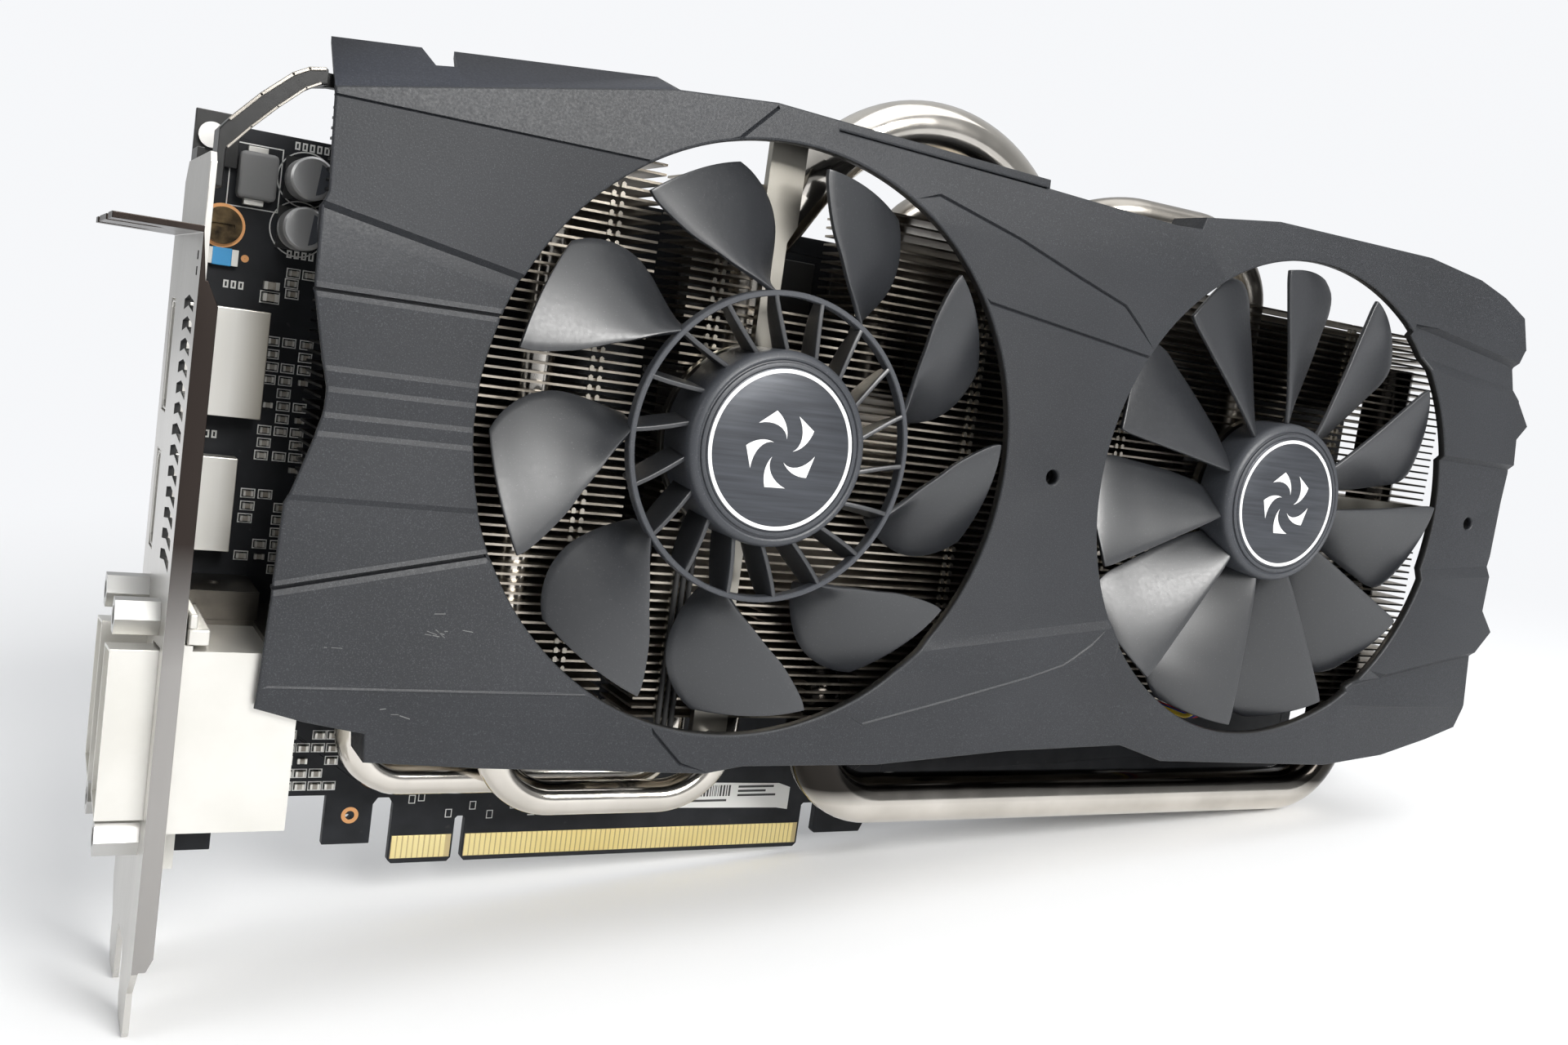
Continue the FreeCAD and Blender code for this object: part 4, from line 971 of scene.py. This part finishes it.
def make_board_print(lines):
    """Outlines around parts, and small empty boxes where the real board has lettering."""
    frame_box(lines, 6.6, 14.6, 111.4, 121.6, 0.18)
    for place in BOARD_CANS[:2]:
        lines.revolve(place, [(4.35, PRINT_BACK), (4.35, PRINT_TOP), (4.55, PRINT_TOP),
                              (4.55, PRINT_BACK)], True, 48)
    for x, z in ((47.2, 11.2), (48.9, 11.6), (54.2, 8.4), (58.6, 9.8), (62.0, 8.0), (66.4, 9.8),
                 (88.5, 10.6)):
        frame_box(lines, x, x + 1.2, z, z + 1.6, 0.14)
    for k in range(6):
        x = 70.0 + 2.6 * k
        lines.block(x, 71.4 + 2.6 * k, PRINT_TOP, PRINT_BACK, 8.4, 8.6)
    for x0, z, count in ((7.4, 98.4, 3), (16.2, 122.0, 6), (5.6, 74.0, 3), (16.6, 104.6, 4)):
        for k in range(count):
            x = x0 + 1.15 * k
            frame_box(lines, x, x + 0.8, z, z + 1.25, 0.25)
    lines.build("board_print", "silk", "card", "connector_white")


def make_corner_parts():
    """Copper rings around holes, the corner choke's terminals, and a blue fuse."""
    rings, tabs, fuse_body, fuse_ends = Soup(), Soup(), Soup(), Soup()
    for x, z, inner, outer in ((6.4, 108.1, 2.95, 3.5), (37.0, 9.3, 0.8, 1.5),
                               (10.3, 103.4, 0.05, 0.6)):
        rings.revolve((x, z), [(inner, 0.02), (inner, -0.06), (outer, -0.06), (outer, 0.02)],
                      True, 40)
    rings.build("board_copper_rings", "copper", "card", "bearing_bronze")
    for z in (111.9, 120.1):
        tabs.block(9.0, 12.0, -1.9, 0, z, z + 1.0)
    tabs.build("choke_terminals", "shell", "card", "connector_metal", edge=0.08)
    fuse_body.block(5.2, 8.1, -1.6, 0, 101.8, 104.6)
    for x0, x1 in ((4.6, 5.2), (8.1, 9.1)):
        fuse_ends.block(x0, x1, -1.65, 0, 101.9, 104.5)
    fuse_body.build("fuse_body", "blue", "card", "small_part", edge=0.1)
    fuse_ends.build("fuse_ends", "insert", "card", "connector_white", edge=0.08)


def make_sticker_print():
    """Plain upright bars and rows of the sticker, in place of its codes."""
    bars = Soup()
    chance = random.Random(3)
    top, back = -0.15, -0.1
    x = 98.2
    while x < 112.5:
        w = chance.choice((0.15, 0.25, 0.4))
        bars.block(x, x + w, top, back, 11.3, 13.6)
        x += w + chance.choice((0.18, 0.3))
    for z, x0, x1 in ((13.0, 114.2, 122.4), (12.1, 114.2, 120.6), (11.2, 114.2, 123.0),
                      (10.2, 98.2, 111.8)):
        bars.block(x0, x1, top, back, z, z + 0.45)
    bars.build("sticker_print", "ink", "card", "connector_black")


def make_fin_tabs():
    """Folded tabs that hook each fin to the next, in upright rows."""
    tabs = Soup()
    for x, z0, z1 in ((63.4, 34.2, 129.8), (83.5, 34.2, 129.8), (140.5, 34.2, 129.8),
                      (178.5, 39.0, 126.4), (240.5, 39.0, 126.4)):
        for k in range(int((z1 - z0) / FIN_PITCH)):
            z = z0 + FIN_PITCH * k
            for a, b in ((x - 1.15, x - 0.4), (x + 0.4, x + 1.15)):
                tabs.slab([(a, z), (b, z), (b, z + 0.75), ((a + b) / 2, z + 1.0), (a, z + 0.75)],
                          FIN_FRONT - 0.25, FIN_FRONT + 0.4)
    tabs.build("fin_tabs", "fin_tab", "card", "fin_aluminium")


def make_shelf_foot():
    """Bright foot of the stacked connector's frame, on its stepped top beside the bracket."""
    foot = Soup()
    foot.block(3.4, 6.4, -32.5, -14.6, 47.0, 49.4)
    foot.block(3.4, 4.6, -32.5, -14.6, 49.4, 51.6)
    foot.build("connector_foot", "shell", "card", "connector_metal", edge=0.25)


def make_brace_edges():
    """Rolled edges of the strip between the bracket and the shroud's corner, as lighter metal
    strokes on the black strip: painted highlight.
    """
    edges = Soup()
    upper = [(2.2, 121.4), (5.8, 125.4), (9.7, 129.0), (11.8, 130.2), (13.8, 130.6)]
    lower = [(2.2, 117.6), (4.9, 120.8), (8.1, 124.2), (11.6, 127.5), (13.4, 128.5)]
    for line, width in ((upper, 0.5), (lower, 0.4)):
        edges.stroke(line, width, -33.45, -33.1)
    edges.build("brace_edge_highlights", "pipe_dark", "card", "black_steel", edge=0.1)


def make_scuffs():
    """Short bright rubs on the lower left of the shroud's front."""
    chance = random.Random(11)
    marks = Soup()
    for x, z, count in ((38.8, 50.6, 9), (33.6, 37.4, 3), (22.0, 47.5, 2)):
        for _ in range(count):
            a, b = x + chance.gauss(0, 1.4), z + chance.gauss(0, 0.9)
            length, slope = chance.uniform(0.3, 1.6), chance.uniform(-0.8, 0.2)
            top = FRONT + front_depth(a, b)
            marks.stroke([(a, b), (a + length, b + slope * length)], chance.uniform(0.06, 0.16),
                         top - 0.02, top + 0.3)
    marks.build("shroud_scuffs", "scuff", "card", "shroud_charcoal")


def make_shroud_posts():
    """Hollow posts behind the front's two screw holes, with the screw ends deep inside."""
    posts = Soup()
    for place in SCREW_HOLES:
        posts.revolve(place, [(0.02, -30.8), (1.3, -30.8), (1.35, FRONT + 2.7), (3.4, FRONT + 2.7),
                              (3.4, -26.2)], False, 32)
    posts.build("shroud_posts", "black_plastic", "card", "shroud_charcoal")


def make_connector_springs():
    """Spring leaves in windows on the front faces of the two digital connectors."""
    windows, leaves = Soup(), Soup()
    for face, places in ((-6.6, (79.6, 83.2, 86.8, 90.4, 93.6)), (-6.2, (58.2, 61.4, 66.2, 69.4))):
        for z in places:
            windows.block(3.4, 4.9, face - 0.04, face + 0.1, z, z + 0.6)
            leaves.block(4.9, 5.3, face - 0.12, face + 0.1, z - 0.3, z + 0.9)
    windows.build("spring_windows", "black_plastic", "card", "connector_black")
    leaves.build("spring_leaves", "shell", "card", "connector_metal", edge=0.06)


# -------------------- run
make_camera()
make_studio()
make_floor()
dress_nodes()
make_shroud()
make_left_fan()
make_right_fan()
make_label("left", LEFT, LEFT_HUB, 13.3)
make_label("right", RIGHT, RIGHT_HUB, 13.1)
make_capacitors()
make_fingers()
make_board_print(make_chip_parts())
make_corner_parts()
make_sticker_print()
make_fin_tabs()
make_connector_springs()
make_shelf_foot()
make_brace_edges()
make_scuffs()
make_shroud_posts()
